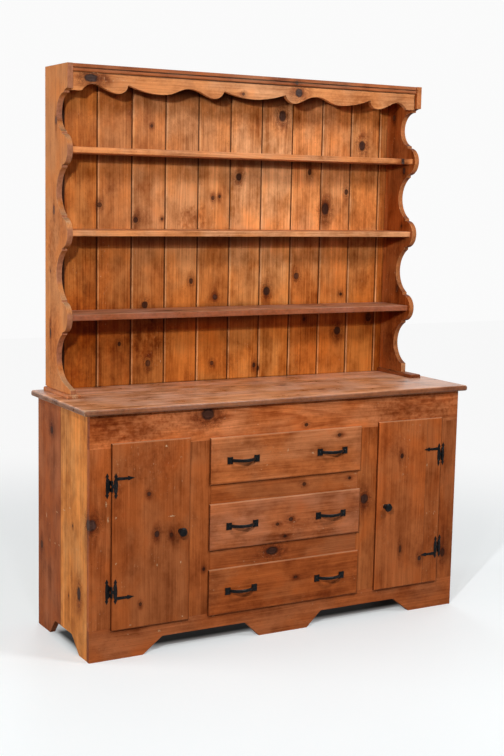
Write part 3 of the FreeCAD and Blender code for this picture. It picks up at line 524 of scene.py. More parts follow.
def glued_boards(net, board, face, across, tone, more):
    """Boards glued side by side at the given lines: each has its own tone, heart and noise."""
    lines = more["boards"]
    shades = more.get("shades", (1.0,) * (len(lines) + 1))
    tints = more.get("tints", (tone,) * (len(lines) + 1))
    tones = [tuple(part * shade for part in linear(tint)[:3]) + (1.0,) for tint, shade in zip(tints, shades)]
    number, seam, mixed = 0.0, 0.0, tones[0]
    for line in lines:
        past = net.minus(across, line * MM - face.middle)
        number = net.plus(number, net.math("GREATER_THAN", past, 0.0))
        seam = net.larger(seam, net.step(net.size(past), 0.0003, 0.0013, 1.0, 0.0))
    for i in range(1, len(tones)):
        mixed = net.mix(net.math("GREATER_THAN", number, i - 0.5), mixed, tones[i])
    board["Tone"] = net.mix(net.times(seam, 0.6), mixed, GLUE_LINE)
    board["Seed"] = net.plus(net.times(number, 1.37), board["Seed"])
    heart = net.math("FRACT", net.times(board["Seed"], 3.71))
    board["Pith"] = net.plus(net.times(heart, 0.12), -0.06 + board["Pith"])


def pine(name, face, tone, knots=(), chips=(), **more):
    """The material of one pine board, or of several side by side.

    Places and sizes of marks are in mm on the face: knots are (place, place, radius, stretch along the
    grain, greyness), chips (place, place, half size, half size), and murk and grime_and_shade the same
    with a strength. Murk is stains, and in places painted shade; grime_and_shade is painted shade under
    and beside parts, and darkens the counter's end. More gives
      seed, spacing, contrast, figure   the board's own noise, the width of its year rings, and how
                                        strong the rings and the streaks are
      rough, gloss, wear                the finish, and how far it is rubbed off
      boards, shades, tints             glue lines across the grain, and each glued board's tone
      pitch, shades, low_tone           the lining's boards, each board's tone, and the tone low down
      wide_joint, front_shade_only      the lining's one wide dark seam, and its painted shade on its
                                        front alone
      front_tone                        another tone and its share, on faces to the front and back
      ends, sides, top                  how much darker faces at the grain's end are, how much painted
                                        shade faces to the left and right get, and how much painted
                                        highlight upward faces get
    """
    material, net, shader = new_material(name)
    coordinates = net.add("ShaderNodeTexCoord")
    whole = coordinates.outputs["Object"]
    place = net.split(net.vector("SUBTRACT", whole, tuple(face.centre)))
    across, depth, along = (place[axis] for axis in face.order)
    point = net.join(across, depth, along)
    normal = net.split(coordinates.outputs["Normal"])
    wobble = net.minus(net.noise(whole, 95.0, 2.0), 0.5)
    grit = net.times(net.minus(net.noise(whole, 330.0, 2.0), 0.5), 4.0)

    knot_marks = [dict(Centre=face.spot(knot), Radius=knot[2] * MM, Stretch=knot[3], Greyness=knot[4],
                       Wobble=wobble) for knot in knots]
    board = chained(net, KNOT_GROUP, dict({mark: 0.0 for mark in KNOT_MARKS}, Point=point), knot_marks)
    board.update(chained(net, CHIP_GROUP, {"Chip": 0.0}, oval_marks(face, chips, Point=point, Speckle=grit)))
    # Murk, and grime_and_shade, which is painted shade in most places
    for kind, speckle in (("Murk", net.times(wobble, 1.2)), ("Grime_and_shade", 0.0)):
        blots = oval_marks(face, more.get(kind.lower(), ()), Point=point, Speckle=speckle)
        board[kind] = chained(net, BLOT_GROUP, {"Blot": 0.0}, blots)["Blot"]
    # The lining's painted shade lies on its front faces alone
    if more.get("front_shade_only"):
        board["Grime_and_shade"] = net.times(board["Grime_and_shade"], net.step(normal[1], 0.2, 0.6, 1.0, 0.0))

    draw = random.Random(name)
    board["Tone"] = linear(tone)
    board["Seed"] = more["seed"]
    board["Pith"] = draw.uniform(-0.3, 0.3) * (face.high - face.low)[face.order[0]]
    board["Depth"] = draw.uniform(0.035, 0.09) * draw.choice((-1.0, 1.0))
    board["Tilt"] = draw.uniform(0.02, 0.05) * draw.choice((-1.0, 1.0))
    if "pitch" in more:
        lining_boards(net, board, face, across, more)
    elif "boards" in more:
        glued_boards(net, board, face, across, tone, more)
    board["Spacing"] = more.get("spacing", 0.0058)
    board["Contrast"] = more.get("contrast", 0.5)
    board["Figure"] = more.get("figure", 1.0)
    board["Wear"] = more.get("wear", 0.0)
    # Masks: painted shade on faces to the left and right, a painted highlight on upward faces, and darker
    # end grain
    board["Side"] = net.step(net.size(normal[0]), 0.6, 0.95, 0.0, more.get("sides", 0.0))
    board["Top"] = net.step(normal[2], 0.45, 0.9, 0.0, more.get("top", 0.0))
    board["End"] = net.step(net.size(normal[face.order[2]]), 0.7, 0.95, 0.0, more.get("ends", 1.0))
    wood = net.add("ShaderNodeGroup", node_tree=PINE_GROUP)
    for label, value in board.items():
        net.feed(wood.inputs[label], value)

    surface = wood.outputs["Color"]
    if "front_tone" in more:
        *front, share = more["front_tone"]
        facing = net.step(net.size(normal[1]), 0.35, 0.85, 0.0, share)
        if "top" in more:
            facing = net.times(facing, net.step(normal[2], 0.15, 0.5, 1.0, 0.0))
        front = net.scaled(linear(front), net.plus(net.times(wobble, 1.6), 1.0))
        surface = net.mix(facing, surface, front)
    net.feed(shader.inputs["Base Color"], surface)
    rough = net.math("ADD", wood.outputs["Roughness"], more.get("rough", 0.50), clamp=True)
    net.feed(shader.inputs["Roughness"], rough)
    shader.inputs["Specular IOR Level"].default_value = more.get("gloss", 0.14)
    net.bumped(shader, wood.outputs["Height"], 0.5, 0.0005)
    return material


def plywood(name, grain):
    """Thin sheet with a quiet rotary-cut face."""
    material, net, shader = new_material(name)
    coordinates = net.add("ShaderNodeTexCoord").outputs["Object"]
    stretch = tuple(0.9 if axis == grain else 11.0 for axis in "xyz")
    figure = net.noise(net.vector("MULTIPLY", coordinates, stretch), 1.0, 2.0)
    wave = net.step(net.math("FRACT", net.times(figure, 14.0)), 0.2, 0.9)
    fine = net.noise(net.vector("MULTIPLY", coordinates, tuple(30.0 * part for part in stretch)), 1.0, 2.0)
    colour = net.scaled(linear(RAW_PLY), net.plus(net.times(fine, 0.4), 0.8))
    colour = net.mix(net.times(wave, 0.35), colour, net.tinted(colour, PLY_WAVE))
    net.feed(shader.inputs["Base Color"], colour)
    shader.inputs["Roughness"].default_value = 0.62
    shader.inputs["Specular IOR Level"].default_value = 0.25
    net.bumped(shader, fine, 0.35, 0.0003)
    return material


def metal(name, dark, light, roughness, metallic, dents=0.0004):
    """Painted or blued iron with a faint hammered surface and rubbed places."""
    material, net, shader = new_material(name)
    coordinates = net.add("ShaderNodeTexCoord").outputs["Object"]
    hammer = net.noise(coordinates, 210.0, 2.0)
    rub = net.noise(coordinates, 60.0, 4.0, 0.65)
    dust = net.noise(coordinates, 700.0, 2.0)
    colour = net.mix(net.step(rub, 0.45, 0.75), dark + (1.0,), light + (1.0,))
    net.feed(shader.inputs["Base Color"], net.scaled(colour, net.plus(net.times(dust, 0.6), 0.7)))
    rough = net.math("ADD", net.times(rub, 0.25), roughness - 0.12, clamp=True)
    net.feed(shader.inputs["Roughness"], rough)
    shader.inputs["Metallic"].default_value = metallic
    net.bumped(shader, net.plus(hammer, net.times(dust, 0.15)), 0.5, dents)
    return material


# The boards by node: tone, grain, the face with the marks, and what pine() says of the rest. Count is
# the number of knots at random places.
FRAME = dict(face="y", figure=0.95, spacing=0.008)
# Lipped fronts: painted shade on their left and right faces, and a painted highlight on their upward faces
LIPPED = dict(face="y", sides=0.85, ends=0.0, top=0.9)
BOARDS = {
    "hutch_frieze": dict(
        tone=HONEY, grain="x", face="y", seed=3.1, contrast=0.42,
        knots=[(-624, 1899, 12, 1.9, 0.9), (179, 1894, 14, 1.0, 0.8), (-49, 1878, 5, 1.1, 0.0)],
        murk=[(-600, 1897, 70, 30, 0.55), (215, 1888, 45, 30, 0.5), (420, 1880, 160, 45, 0.4),
              (620, 1890, 60, 45, 0.35)],
        # Painted shadow under the moulding, and painted shade in the corners by the sides
        grime_and_shade=[(0, 1916, 1400, 3.4, 1.0), (-691, 1890, 2.5, 60, 0.8), (691, 1890, 2.5, 60, 0.8)],
    ),
    "hutch_moulding": dict(
        tone=(152, 88, 50), grain="x", face="y", seed=5.3, contrast=0.35,
        knots=[(165, 1928, 6, 1.2, 0.8)],
        # Painted shade in the groove
        grime_and_shade=[(0, 1929.5, 1400, 4.0, 1.0)],
    ),
    "hutch_top": dict(tone=(176, 110, 64), grain="x", face="z", seed=7.7, count=4, boards=(150,)),
    "hutch_side_left": dict(
        tone=(198, 126, 70), front_tone=(140, 92, 74, 0.7), grain="z", face="x", seed=9.9, contrast=0.4,
        # top gives the upward faces of the scalloped edges a painted highlight
        figure=0.55, rough=0.6, gloss=0.1, top=1.0,
        knots=[(149, 1762, 5, 2.6, 0.9), (168, 1464, 5, 3.0, 0.9), (200, 1257, 2.5, 1.2, 0.0),
               (202, 1046, 5, 3.0, 0.9)],
        chips=[(58, 1723, 5, 9), (59, 1607, 4, 10), (62, 1437, 5, 10), (20, 880, 7, 12)],
        murk=[(170, 1010, 70, 200, 0.7), (110, 1480, 45, 150, 0.65), (180, 1330, 60, 140, 0.75)],
    ),
    "hutch_side_right": dict(
        tone=(156, 84, 38), front_tone=(178, 112, 66, 0.6), grain="z", face="x", seed=11.3, contrast=0.36,
        spacing=0.009, boards=(214,), shades=(1.0, 1.12),
        knots=[(191, 1834, 8, 1.3, 0.3), (116, 1631, 8, 1.6, 0.6), (134, 1176, 6, 2.0, 0.2),
               (120, 1420, 4, 1.2, 0.0)],
        chips=[(87, 892, 1.6, 42)],
        # Murk here is painted shade in each bay, deepest in the lowest
        murk=[(170, 1730, 60, 90, 0.5), (160, 1340, 70, 60, 0.6), (150, 1060, 80, 60, 0.7),
              (150, 1600, 40, 60, 0.4), (150, 960, 90, 120, 1.0)],
        # Painted shadows of the three shelves on the inner face, and painted shade in the lowest bay
        grime_and_shade=[(150, 1650, 110, 26, 0.5), (150, 1374, 110, 30, 0.6), (150, 1092, 110, 36, 0.6),
               (150, 930, 120, 110, 0.35)],
    ),
    "hutch_shelf_upper": dict(
        tone=(200, 132, 82), grain="x", face="z", seed=13.7, count=5,
        knots=[(647, 66, 6, 1.5, 0.8)],
    ),
    "hutch_shelf_middle": dict(tone=(206, 140, 90), grain="x", face="z", seed=15.1, count=5),
    "hutch_shelf_lower": dict(
        tone=(178, 126, 96), front_tone=(138, 66, 34, 0.7), grain="x", face="z", seed=17.9, count=5,
    ),
    "hutch_foot_left": dict(tone=(184, 114, 68), grain="y", face="z", seed=19.3, chips=[(-702, 12, 12, 8)]),
    "hutch_foot_right": dict(tone=(150, 84, 46), grain="y", face="z", seed=21.5),
    "hutch_back_boards": dict(
        tone=(199, 131, 79), low_tone=(178, 103, 44), grain="z", face="y", seed=4.0, contrast=0.38,
        figure=1.1, spacing=0.0085, pitch=LINING_PITCH, wide_joint=-654.5, front_shade_only=True,
        shades=[(0.72, 0.58, 0.34), (0.78, 0.65, 0.4), (0.82, 0.74, 0.6), (0.89, 0.89, 0.86),
                (0.98, 1.0, 0.95), (0.98, 1.0, 0.93), (1.15, 1.26, 1.3), (1.22, 1.36, 1.42),
                (1.12, 1.16, 1.15), (1.04, 1.0, 0.88), (1.02, 0.99, 0.82), (0.82, 0.72, 0.5)],
        knots=[(216, 1821, 14, 1.35, 0.4), (577, 1724, 13, 1.35, 0.3), (341, 1618, 7, 1.6, 0.0),
               (415, 1480, 14, 1.5, 0.1), (509, 1546, 8, 1.3, 0.0), (-319, 1762, 5, 1.0, 0.0),
               (-517, 1483, 8, 1.0, 0.0), (-379, 1432, 8, 1.2, 0.0), (-276, 1436, 5, 1.0, 0.0),
               (-71, 1514, 6, 1.2, 0.0), (-44, 1520, 5, 1.2, 0.0), (36, 1592, 11, 1.2, 0.2),
               (-340, 1129, 11, 1.1, 0.0), (-438, 992, 6, 1.3, 0.0), (-326, 918, 9, 1.3, 0.0),
               (-156, 1212, 7, 1.4, 0.0), (-56, 1152, 9, 1.1, 0.2), (163, 1170, 13, 1.2, 0.1),
               (292, 1225, 10, 1.1, 0.1), (495, 1152, 6, 1.0, 0.0), (484, 1010, 13, 1.2, 0.1),
               (333, 1059, 5, 1.2, 0.0), (628, 1059, 12, 1.3, 0.1), (-64, 907, 7, 1.1, 0.0),
               (116, 891, 6, 1.5, 0.0), (132, 879, 5, 1.5, 0.0)],
        murk=[(0, 1835, 950, 120, 0.45), (216, 1821, 40, 55, 0.6), (577, 1740, 38, 50, 0.6),
              (415, 1465, 60, 60, 0.6), (-150, 1432, 75, 70, 0.9), (-360, 1445, 60, 45, 0.6),
              (-470, 1600, 60, 120, 0.35), (-600, 1000, 150, 260, 0.65), (-400, 930, 160, 130, 0.55),
              (60, 1640, 50, 60, 0.5), (-20, 900, 90, 70, 0.5), (330, 960, 90, 110, 0.3),
              (-270, 1240, 60, 60, 0.4), (600, 1500, 80, 300, 0.5), (-560, 1250, 110, 120, 0.5),
              (-330, 1010, 110, 130, 1.0), (577, 1250, 70, 130, 0.5)],
        # Painted shade beside both sides, under the three shelves and the frieze, and where the boards meet
        # the counter
        grime_and_shade=[(-694, 1400, 34, 620, 0.85), (0, 1650, 760, 34, 0.62), (0, 1374, 760, 38, 0.7),
               (0, 1092, 760, 48, 0.78), (0, 1893, 760, 50, 1.0), (700, 1400, 16, 620, 0.5),
               (0, 843, 760, 6, 0.7)],
    ),
    "counter_top": dict(
        tone=COUNTER_TONE, front_tone=(116, 60, 32, 0.8), grain="x", face="z", seed=23.3, contrast=0.45,
        figure=1.25, spacing=0.01, rough=0.32, gloss=0.42, count=5, boards=(-95, 90),
        shades=(1.0, 0.94, 1.03),
        chips=[(-758, -228, 7, 9), (-735, -233, 12, 4), (-640, -233, 5, 3)],
        murk=[(-560, -60, 160, 120, 0.3), (-200, -150, 260, 40, 0.3), (260, 0, 200, 90, 0.2),
              (560, -160, 160, 50, 0.2)],
        grime_and_shade=[(-766, 0, 4.5, 900, 0.5)],
    ),
    "face_top_rail": dict(
        tone=(194, 113, 63), grain="x", face="y", seed=25.1, contrast=0.75, figure=0.95, spacing=0.007,
        knots=[(-314, 800, 19, 1.2, 0.3), (75, 738, 6, 1.2, 0.0)],
        murk=[(-620, 780, 260, 90, 1.0), (-360, 755, 60, 60, 0.7), (-290, 780, 50, 34, 0.6),
              (560, 780, 250, 95, 0.9), (-60, 815, 240, 12, 0.5)],
    ),
    "face_stile_left": dict(
        FRAME, tone=(167, 89, 42), grain="z", seed=27.2, contrast=0.34,
        knots=[(-732, 462, 16, 1.1, 0.6)],
        chips=[(-681, 526, 3, 9), (-674, 475, 3, 8), (-735, 750, 9, 1.2)],
    ),
    "face_stile_right": dict(
        FRAME, tone=(160, 86, 42), grain="z", seed=29.4, contrast=0.34,
        knots=[(695, 206, 9, 1.8, 0.0)],
    ),
    "face_mid_stile_left": dict(
        FRAME, tone=(160, 88, 44), grain="z", seed=31.6, contrast=0.34,
        knots=[(-321, 267, 5, 1.2, 0.0)],
    ),
    "face_mid_stile_right": dict(
        FRAME, tone=(170, 92, 43), grain="z", seed=33.8, contrast=0.36,
        knots=[(330, 448, 15, 1.1, 0.3)],
    ),
    "face_skirt": dict(
        FRAME, tone=(168, 92, 48), grain="x", seed=35.2, contrast=0.36,
        chips=[(-487, 74, 6, 3), (-282, 97, 5, 2.5)],
    ),
    "drawer_rail_lower": dict(
        FRAME, tone=(161, 88, 45), grain="x", seed=37.4, contrast=0.36,
        knots=[(-53, 300, 14, 1.6, 0.3)],
    ),
    "drawer_rail_upper": dict(
        FRAME, tone=(162, 88, 43), grain="x", seed=39.6, contrast=0.36,
        knots=[(72, 526, 6, 1.2, 0.0), (263, 531, 5, 1.2, 0.0)],
    ),
    "drawer_top_front": dict(
        LIPPED, tone=(181, 106, 59), grain="x", seed=41.8, contrast=0.34, figure=0.95, spacing=0.009,
        knots=[(208, 693, 6, 1.2, 0.0)],
        chips=[(-4, 655, 3, 5), (99, 637, 4, 3)],
        murk=[(-300, 640, 40, 80, 0.5), (0, 585, 320, 16, 0.4), (295, 650, 26, 90, 0.4),
              (-90, 690, 120, 24, 0.4), (230, 600, 70, 20, 0.4)],
    ),
    "drawer_middle_front": dict(
        LIPPED, tone=(174, 103, 63), grain="x", seed=43.1, contrast=0.34, figure=0.95, spacing=0.009,
        knots=[(15, 408, 7, 1.2, 0.2), (-8, 350, 5, 1.2, 0.0), (-39, 396, 5, 1.2, 0.0)],
        murk=[(-300, 400, 36, 80, 0.5), (60, 380, 150, 40, 0.5), (285, 410, 34, 90, 0.4),
              (-150, 450, 100, 20, 0.4), (0, 352, 320, 14, 0.4)],
    ),
    "drawer_bottom_front": dict(
        LIPPED, tone=(165, 88, 42), grain="x", seed=45.5, contrast=0.36, figure=0.95, spacing=0.009,
        knots=[(40, 196, 5, 1.3, 0.0)],
        murk=[(-295, 180, 40, 90, 0.5), (0, 118, 320, 18, 0.5), (290, 190, 30, 90, 0.45),
              (60, 200, 90, 40, 0.4)],
    ),
    "door_left_panel": dict(
        LIPPED, tone=(162, 88, 43), grain="z", seed=47.7, contrast=0.14, figure=0.75, spacing=0.011,
        knots=[(-533, 550, 6, 1.1, 0.2), (-503, 412, 8, 1.3, 0.3), (-451, 403, 6, 1.2, 0.0),
               (-560, 180, 5, 1.2, 0.0)],
        chips=[(-650, 482, 4, 4), (-448, 467, 9, 1.6), (-501, 306, 3, 4), (-413, 306, 3, 3),
               (-649, 328, 3, 4), (-598, 114, 4, 2), (-406, 117, 4, 2), (-470, 705, 4, 3)],
        murk=[(-520, 660, 140, 90, 0.6), (-645, 560, 30, 130, 0.55), (-440, 415, 60, 55, 0.6),
              (-600, 330, 60, 130, 0.3)],
    ),
    "door_right_panel": dict(
        LIPPED, tone=(175, 94, 45), grain="z", seed=49.9, contrast=0.18, figure=0.8, spacing=0.01,
        boards=(595,), shades=(1.0, 0.95),
        knots=[(484, 595, 7, 1.3, 0.1), (490, 245, 5, 2.5, 0.0), (579, 200, 7, 1.2, 0.6)],
        chips=[(491, 527, 2.5, 4), (599, 552, 3, 4)],
        murk=[(450, 640, 70, 60, 0.55), (420, 330, 40, 120, 0.3), (600, 250, 70, 90, 0.45)],
    ),
    "base_side_left": dict(
        tone=GOLD_SIDE, grain="z", face="x", seed=51.2, contrast=0.32, figure=0.95, spacing=0.009,
        rough=0.6, gloss=0.1, boards=(37,), tints=(GOLD_SIDE, RED_SIDE),
        knots=[(-204, 462, 16, 1.1, 0.6), (119, 721, 11, 1.1, 0.1), (-126, 212, 13, 1.7, 0.5),
               (216, 298, 9, 1.5, 0.4), (-38, 181, 3, 1.2, 0.0), (-73, 430, 4, 1.2, 0.0)],
        chips=[(170, 413, 3, 6), (72, 445, 9, 2), (8, 466, 10, 2), (-46, 485, 8, 2), (138, 331, 3, 5),
               (91, 332, 5, 3), (53, 334, 5, 2)],
    ),
    "base_side_right": dict(
        tone=GOLD_SIDE, grain="z", face="x", seed=53.4, contrast=0.55, count=6, boards=(20,),
        tints=(RED_SIDE, GOLD_SIDE),
    ),
    "base_floor": dict(tone=(190, 136, 86), grain="x", face="z", seed=55.6, count=3),
    "cupboard_shelf_left": dict(tone=(194, 142, 92), grain="x", face="z", seed=57.8, count=2),
    "cupboard_shelf_right": dict(tone=(194, 142, 92), grain="x", face="z", seed=59.1, count=2),
    "partition_left": dict(tone=(196, 146, 96), grain="z", face="x", seed=61.3, count=3),
    "partition_right": dict(tone=(196, 146, 96), grain="z", face="x", seed=63.5, count=3),
    "drawer_kickers": dict(tone=RAW_PINE, grain="y", face="z", seed=65.7),
    "drawer_runners": dict(tone=RAW_PINE, grain="y", face="z", seed=67.9),
    "shelf_cleats": dict(tone=RAW_PINE, grain="y", face="z", seed=69.2),
}
for height in HEIGHTS:
    seed = float(len(height))
    BOARDS["drawer_%s_sides" % height] = dict(tone=RAW_PINE, grain="y", face="x", seed=71.0 + seed)
    BOARDS["drawer_%s_back" % height] = dict(tone=RAW_PINE, grain="x", face="y", seed=81.0 + seed, count=2)

LIPPED_FRONTS = ["door_%s_panel" % side for side in SIDES]
LIPPED_FRONTS += ["drawer_%s_front" % height for height in HEIGHTS]
# How far the finish is rubbed off the edges
RUBBED = dict(
    dict.fromkeys(LIPPED_FRONTS, 0.9), counter_top=0.35, base_side_left=1.0, hutch_frieze=0.8,
    hutch_moulding=0.6, hutch_side_left=0.8, hutch_side_right=0.8, hutch_shelf_upper=0.7,
    hutch_shelf_middle=0.7, hutch_shelf_lower=0.6, hutch_top=0.5, hutch_foot_left=0.7, hutch_foot_right=0.4,
)
# The widths of rounded edges in mm
ROUNDED = dict(dict.fromkeys(LIPPED_FRONTS, 3.0), counter_top=1.8, hutch_back_boards=0.4, hutch_moulding=1.0)
BOARD_EDGE = 1.2
FRAME_EDGE = 0.6
# The grain of the plywood sheets
PLY_SHEETS = dict(base_back="z", drawer_top_panel="x", drawer_middle_panel="x", drawer_bottom_panel="x")

# The knob from its front to the end of its stud, as (radius, reach in front of the door) in mm
KNOB_PROFILE = [
    (0.3, 25.4), (3.0, 25.5), (5.5, 25.8), (7.4, 26.4), (8.8, 26.9), (10.0, 26.95), (11.6, 26.4),
    (13.1, 25.3), (14.3, 23.8), (14.9, 22.2), (15.0, 20.8), (14.6, 19.4), (13.4, 18.4), (11.4, 17.7),
    (9.2, 16.9), (7.4, 15.4), (6.2, 13.2), (5.7, 10.8), (5.7, 8.4), (6.3, 6.4), (7.4, 4.6), (8.3, 3.4),
    (8.9, 2.2), (9.0, 0.9), (9.0, 0.0), (2.0, 0.0), (2.0, -20.0), (4.0, -20.0), (4.0, -21.6),
    (3.6, -22.0), (0.3, -22.0),
]


def dress(node, *materials):
    """The node's own slot takes the first material, and more slots follow for the rest."""
    obj = nodes[node]
    for i, material in enumerate(materials):
        if i < len(obj.material_slots):
            obj.material_slots[i].material = material
        else:
            obj.data.materials.append(material)


def soften(node, width):
    """Rounds the long edges of a board a little, and gives the rounded strip the last material."""
    obj = nodes[node]
    weld = obj.modifiers.new("weld", "WELD")
    weld.merge_threshold = 0.00001
    flat = obj.modifiers.new("flat", "DECIMATE")
    flat.decimate_type = "DISSOLVE"
    flat.angle_limit = math.radians(0.5)
    edge = obj.modifiers.new("edge", "BEVEL")
    edge.width = width * MM
    edge.segments = 2
    edge.limit_method = "ANGLE"
    edge.angle_limit = math.radians(40.0)
    edge.use_clamp_overlap = True
    edge.material = len(obj.material_slots) - 1
    shade = obj.modifiers.new("shade", "WEIGHTED_NORMAL")
    shade.keep_sharp = False
    shade.weight = 60


def in_scene(obj):
    """The object itself, linked to the scene."""
    bpy.context.scene.collection.objects.link(obj)
    return obj


def turned(name, profile, place, material, sides=40):
    """A piece turned about a line towards the front: profile gives (radius, reach in front) in mm."""
    verts, faces = [], []
    for radius, reach in profile:
        for i in range(sides):
            angle = 2.0 * math.pi * i / sides
            verts.append((place[0] + radius * MM * math.cos(angle), place[1] - reach * MM,
                          place[2] + radius * MM * math.sin(angle)))
    for ring in range(len(profile) - 1):
        for i in range(sides):
            j = (i + 1) % sides
            a, b = ring * sides, (ring + 1) * sides
            faces.append((a + i, b + i, b + j, a + j))
    faces.append(tuple(range(sides)))
    last = (len(profile) - 1) * sides
    faces.append(tuple(last + i for i in reversed(range(sides))))
    mesh = bpy.data.meshes.new(name)
    mesh.from_pydata(verts, [], faces)
    mesh.validate()
    mesh.materials.append(material)
    for polygon in mesh.polygons:
        polygon.use_smooth = True
    mesh.set_sharp_from_angle(angle=math.radians(35.0))
    return in_scene(bpy.data.objects.new(name, mesh))


def make_floor():
    """A wide pale floor that fades into the white all round, with a painted shadow under the base."""
    mesh = bpy.data.meshes.new("floor")
    corners = [(x * FLOOR_HALF, y * FLOOR_HALF, 0) for x, y in ((-1, -1), (1, -1), (1, 1), (-1, 1))]
    mesh.from_pydata(corners, [], [(0, 1, 2, 3)])
    floor = in_scene(bpy.data.objects.new("floor", mesh))
    material, net, shader = new_material("floor")
    place = net.add("ShaderNodeTexCoord").outputs["Object"]
    x, y, _ = net.split(place)
    beyond_x = net.larger(net.minus(net.size(x), FLOOR_SHADOW_BOX[0]), 0.0)
    beyond_y = net.larger(net.minus(net.size(y), FLOOR_SHADOW_BOX[1]), 0.0)
    past_shadow_box = net.vector("LENGTH", net.join(beyond_x, beyond_y, 0.0))
    patch = net.noise(place, 1.6, 3.0)
    grit = net.noise(place, 45.0, 3.0)
    light = net.plus(net.times(patch, 0.05), net.times(grit, 0.02))
    colour = net.scaled(FLOOR_PAINT, net.plus(light, 0.96))
    # Painted shadow: the floor's colour falls to 2 % under the base, over 30 mm at its edge
    colour = net.scaled(colour, net.step(past_shadow_box, 0.0, 0.030, 0.02, 1.0))
    seen = net.add("ShaderNodeLightPath").outputs["Is Camera Ray"]
    net.feed(shader.inputs["Base Color"], net.mix(seen, net.tinted(colour, FLOOR_DIM), colour))
    shader.inputs["Roughness"].default_value = 0.55
    shader.inputs["Specular IOR Level"].default_value = 0.3

    # The camera alone sees the floor a little lighter, though not under and just beside the base, which
    # leaves a painted shadow there, and plain white far away
    lift = net.emission(FLOOR_LIGHT, net.times(net.step(past_shadow_box, 0.0, 0.06, 0.0, FLOOR_LIFT), seen))
    both = net.add("ShaderNodeAddShader")
    net.feed(both.inputs[0], shader.outputs[0])
    net.feed(both.inputs[1], lift)
    blend = net.add("ShaderNodeMixShader")
    net.feed(blend.inputs[0], net.times(net.step(net.vector("LENGTH", place), *FLOOR_FADE), seen))
    net.feed(blend.inputs[1], both.outputs[0])
    net.feed(blend.inputs[2], net.emission(WHITE, FLOOR_GLOW))
    net.feed(material.node_tree.nodes["Material Output"].inputs["Surface"], blend.outputs[0])
    mesh.materials.append(material)


def make_world():
    """Even light on the object, and white where the camera or a reflection sees past it."""
    world = bpy.data.worlds.new("studio")
    bpy.context.scene.world = world
    world.use_nodes = True
    net = Net(world.node_tree)
    rays = net.add("ShaderNodeLightPath").outputs
    direct = net.larger(rays["Is Camera Ray"], rays["Is Transmission Ray"])
    seen = net.larger(direct, rays["Is Glossy Ray"])
    _, back, _ = net.split(net.add("ShaderNodeTexCoord").outputs["Generated"])
    glossy = net.times(rays["Is Glossy Ray"], net.step(back, -0.35, 0.45, 0.15, SEEN_WHITE))
    strength = net.times(net.minus(1.0, seen), AMBIENT)
    strength = net.larger(strength, net.times(direct, SEEN_WHITE))
    background = world.node_tree.nodes["Background"]
    background.inputs["Color"].default_value = WHITE
    net.feed(background.inputs["Strength"], net.larger(strength, glossy))


def lamp(name, place, target, power, size, size_y, even_from=0.0):
    """A soft rectangular lamp that looks at the target, and that reflections show only if it is large.
    With even_from, its light falls off only with the distance itself, and has its plain strength at
    that distance."""
    light = bpy.data.lights.new(name, "AREA")
    light.shape = "RECTANGLE"
    light.size = size
    light.size_y = size_y
    light.energy = power
    if even_from:
        light.use_nodes = True
        tree = light.node_tree
        falloff = tree.nodes.new("ShaderNodeLightFalloff")
        falloff.inputs["Strength"].default_value = 1.0 / even_from
        tree.links.new(falloff.outputs["Linear"], tree.nodes["Emission"].inputs["Strength"])
    obj = in_scene(bpy.data.objects.new(name, light))
    obj.location = place
    obj.rotation_euler = (Vector(target) - Vector(place)).to_track_quat("-Z", "Y").to_euler()
    obj.visible_camera = False
    obj.visible_glossy = size > LARGE_LAMP
    return obj


def make_camera():
    """The camera at the photograph's place: turned right by yaw, down by pitch, rolled a little."""
    yaw, pitch, roll = (math.radians(angle) for angle in CAMERA_ANGLES)
    ahead = Vector((math.sin(yaw) * math.cos(pitch), math.cos(yaw) * math.cos(pitch), -math.sin(pitch)))
    right = Vector((math.cos(yaw), -math.sin(yaw), 0.0))
    up = right.cross(ahead)
    right_rolled = right * math.cos(roll) + up * math.sin(roll)
    up_rolled = up * math.cos(roll) - right * math.sin(roll)
    turn = Matrix((right_rolled, up_rolled, -ahead)).transposed()
    data = bpy.data.cameras.new("camera")
    data.sensor_width = 36.0
    data.sensor_fit = "AUTO"
    data.lens = CAMERA_LENS
    data.clip_end = 60.0
    camera = in_scene(bpy.data.objects.new("camera", data))
    camera.matrix_world = Matrix.Translation(CAMERA_PLACE) @ turn.to_4x4()
    bpy.context.scene.camera = camera


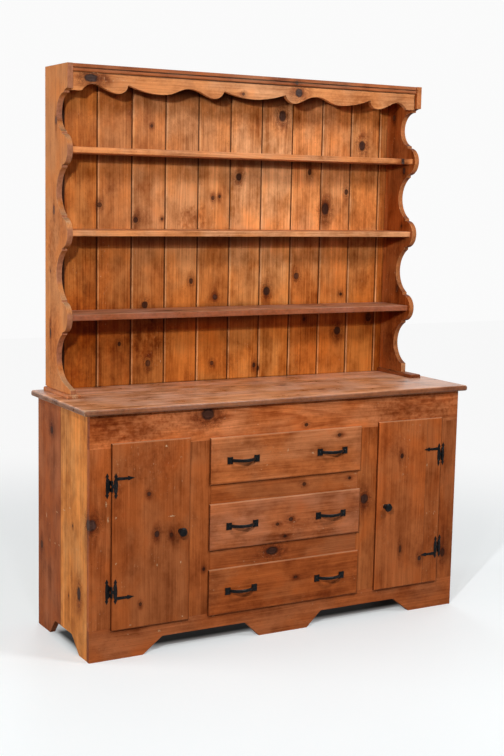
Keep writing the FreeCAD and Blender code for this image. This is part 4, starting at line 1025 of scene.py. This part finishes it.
# Wood
for node, facts in BOARDS.items():
    facts = dict(facts)
    board_face = Face(*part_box(node), facts.pop("grain"), facts.pop("face"))
    facts["knots"] = facts.get("knots", []) + board_face.hidden_knots(node, facts.pop("count", 0))
    dress(node, pine(node, board_face, **facts))
    if node in RUBBED:
        facts.update(chips=(), sides=0.0, wear=RUBBED[node])
        dress(node, nodes[node].material_slots[0].material, pine(node + "_edge", board_face, **facts))
    soften(node, ROUNDED.get(node, FRAME_EDGE if node.startswith(("face", "drawer_rail")) else BOARD_EDGE))
for node, grain in PLY_SHEETS.items():
    dress(node, plywood(node, grain))

# Metal
IRON = metal("black_iron", (0.004, 0.004, 0.0045), (0.016, 0.015, 0.016), 0.42, 0.2)
STEEL = metal("zinc_steel", (0.42, 0.42, 0.43), (0.55, 0.55, 0.56), 0.36, 1.0, 0.00015)
CASE = metal("catch_case", (0.30, 0.17, 0.09), (0.34, 0.20, 0.11), 0.45, 0.0, 0.0001)
for node in ("hinge_frame_screws", "hinge_frame_wings", "hinge_pins"):
    dress(node, IRON)
for height in HEIGHTS:
    dress("drawer_%s_pulls" % height, IRON)
for side in SIDES:
    for part in ("hinge_wings", "hinge_screws", "knob"):
        dress("door_%s_%s" % (side, part), IRON)
    dress("door_%s_strike" % side, STEEL)
dress("door_catches", CASE)

# Smooth knobs in place of the CAD ones
for side in SIDES:
    node = "door_%s_knob" % side
    low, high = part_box(node)
    centre = (low + high) / 2
    knob = turned("knob_" + side, KNOB_PROFILE, (centre[0], DOOR_FACE_Y, centre[2]), IRON)
    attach(knob, "door_" + side)
    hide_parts(node)

make_floor()
make_world()
lamp("key_near", (-1.30, -2.14, 1.88), (0.0, 0.1, 1.15), 8.0, 0.08, 0.08, KEY_DISTANCE)
lamp("key_wide", (-1.85, -2.21, 2.02), (0.0, 0.1, 1.15), 40.0, 0.08, 0.08, KEY_DISTANCE)
lamp("soft_front", (0.95, -1.85, 2.60), (0.3, 0.1, 1.0), 34.0, 0.6, 0.4)
lamp("overhead", (0.3, -0.5, 4.0), (0.0, 0.0, 0.9), 16.0, 1.6, 1.2)
lamp("fill_left", (-3.6, 1.1, 1.5), (-0.7, 0.0, 1.0), 58.0, 1.6, 1.6)
lamp("fill_right", (3.6, 1.1, 1.5), (0.7, 0.0, 1.0), 22.0, 1.6, 1.6)
lamp("behind", (1.6, 4.6, 2.6), (0.0, 0.0, 0.9), 60.0, 1.6, 1.6).visible_glossy = False
make_camera()

bpy.context.scene.view_settings.view_transform = "Standard"
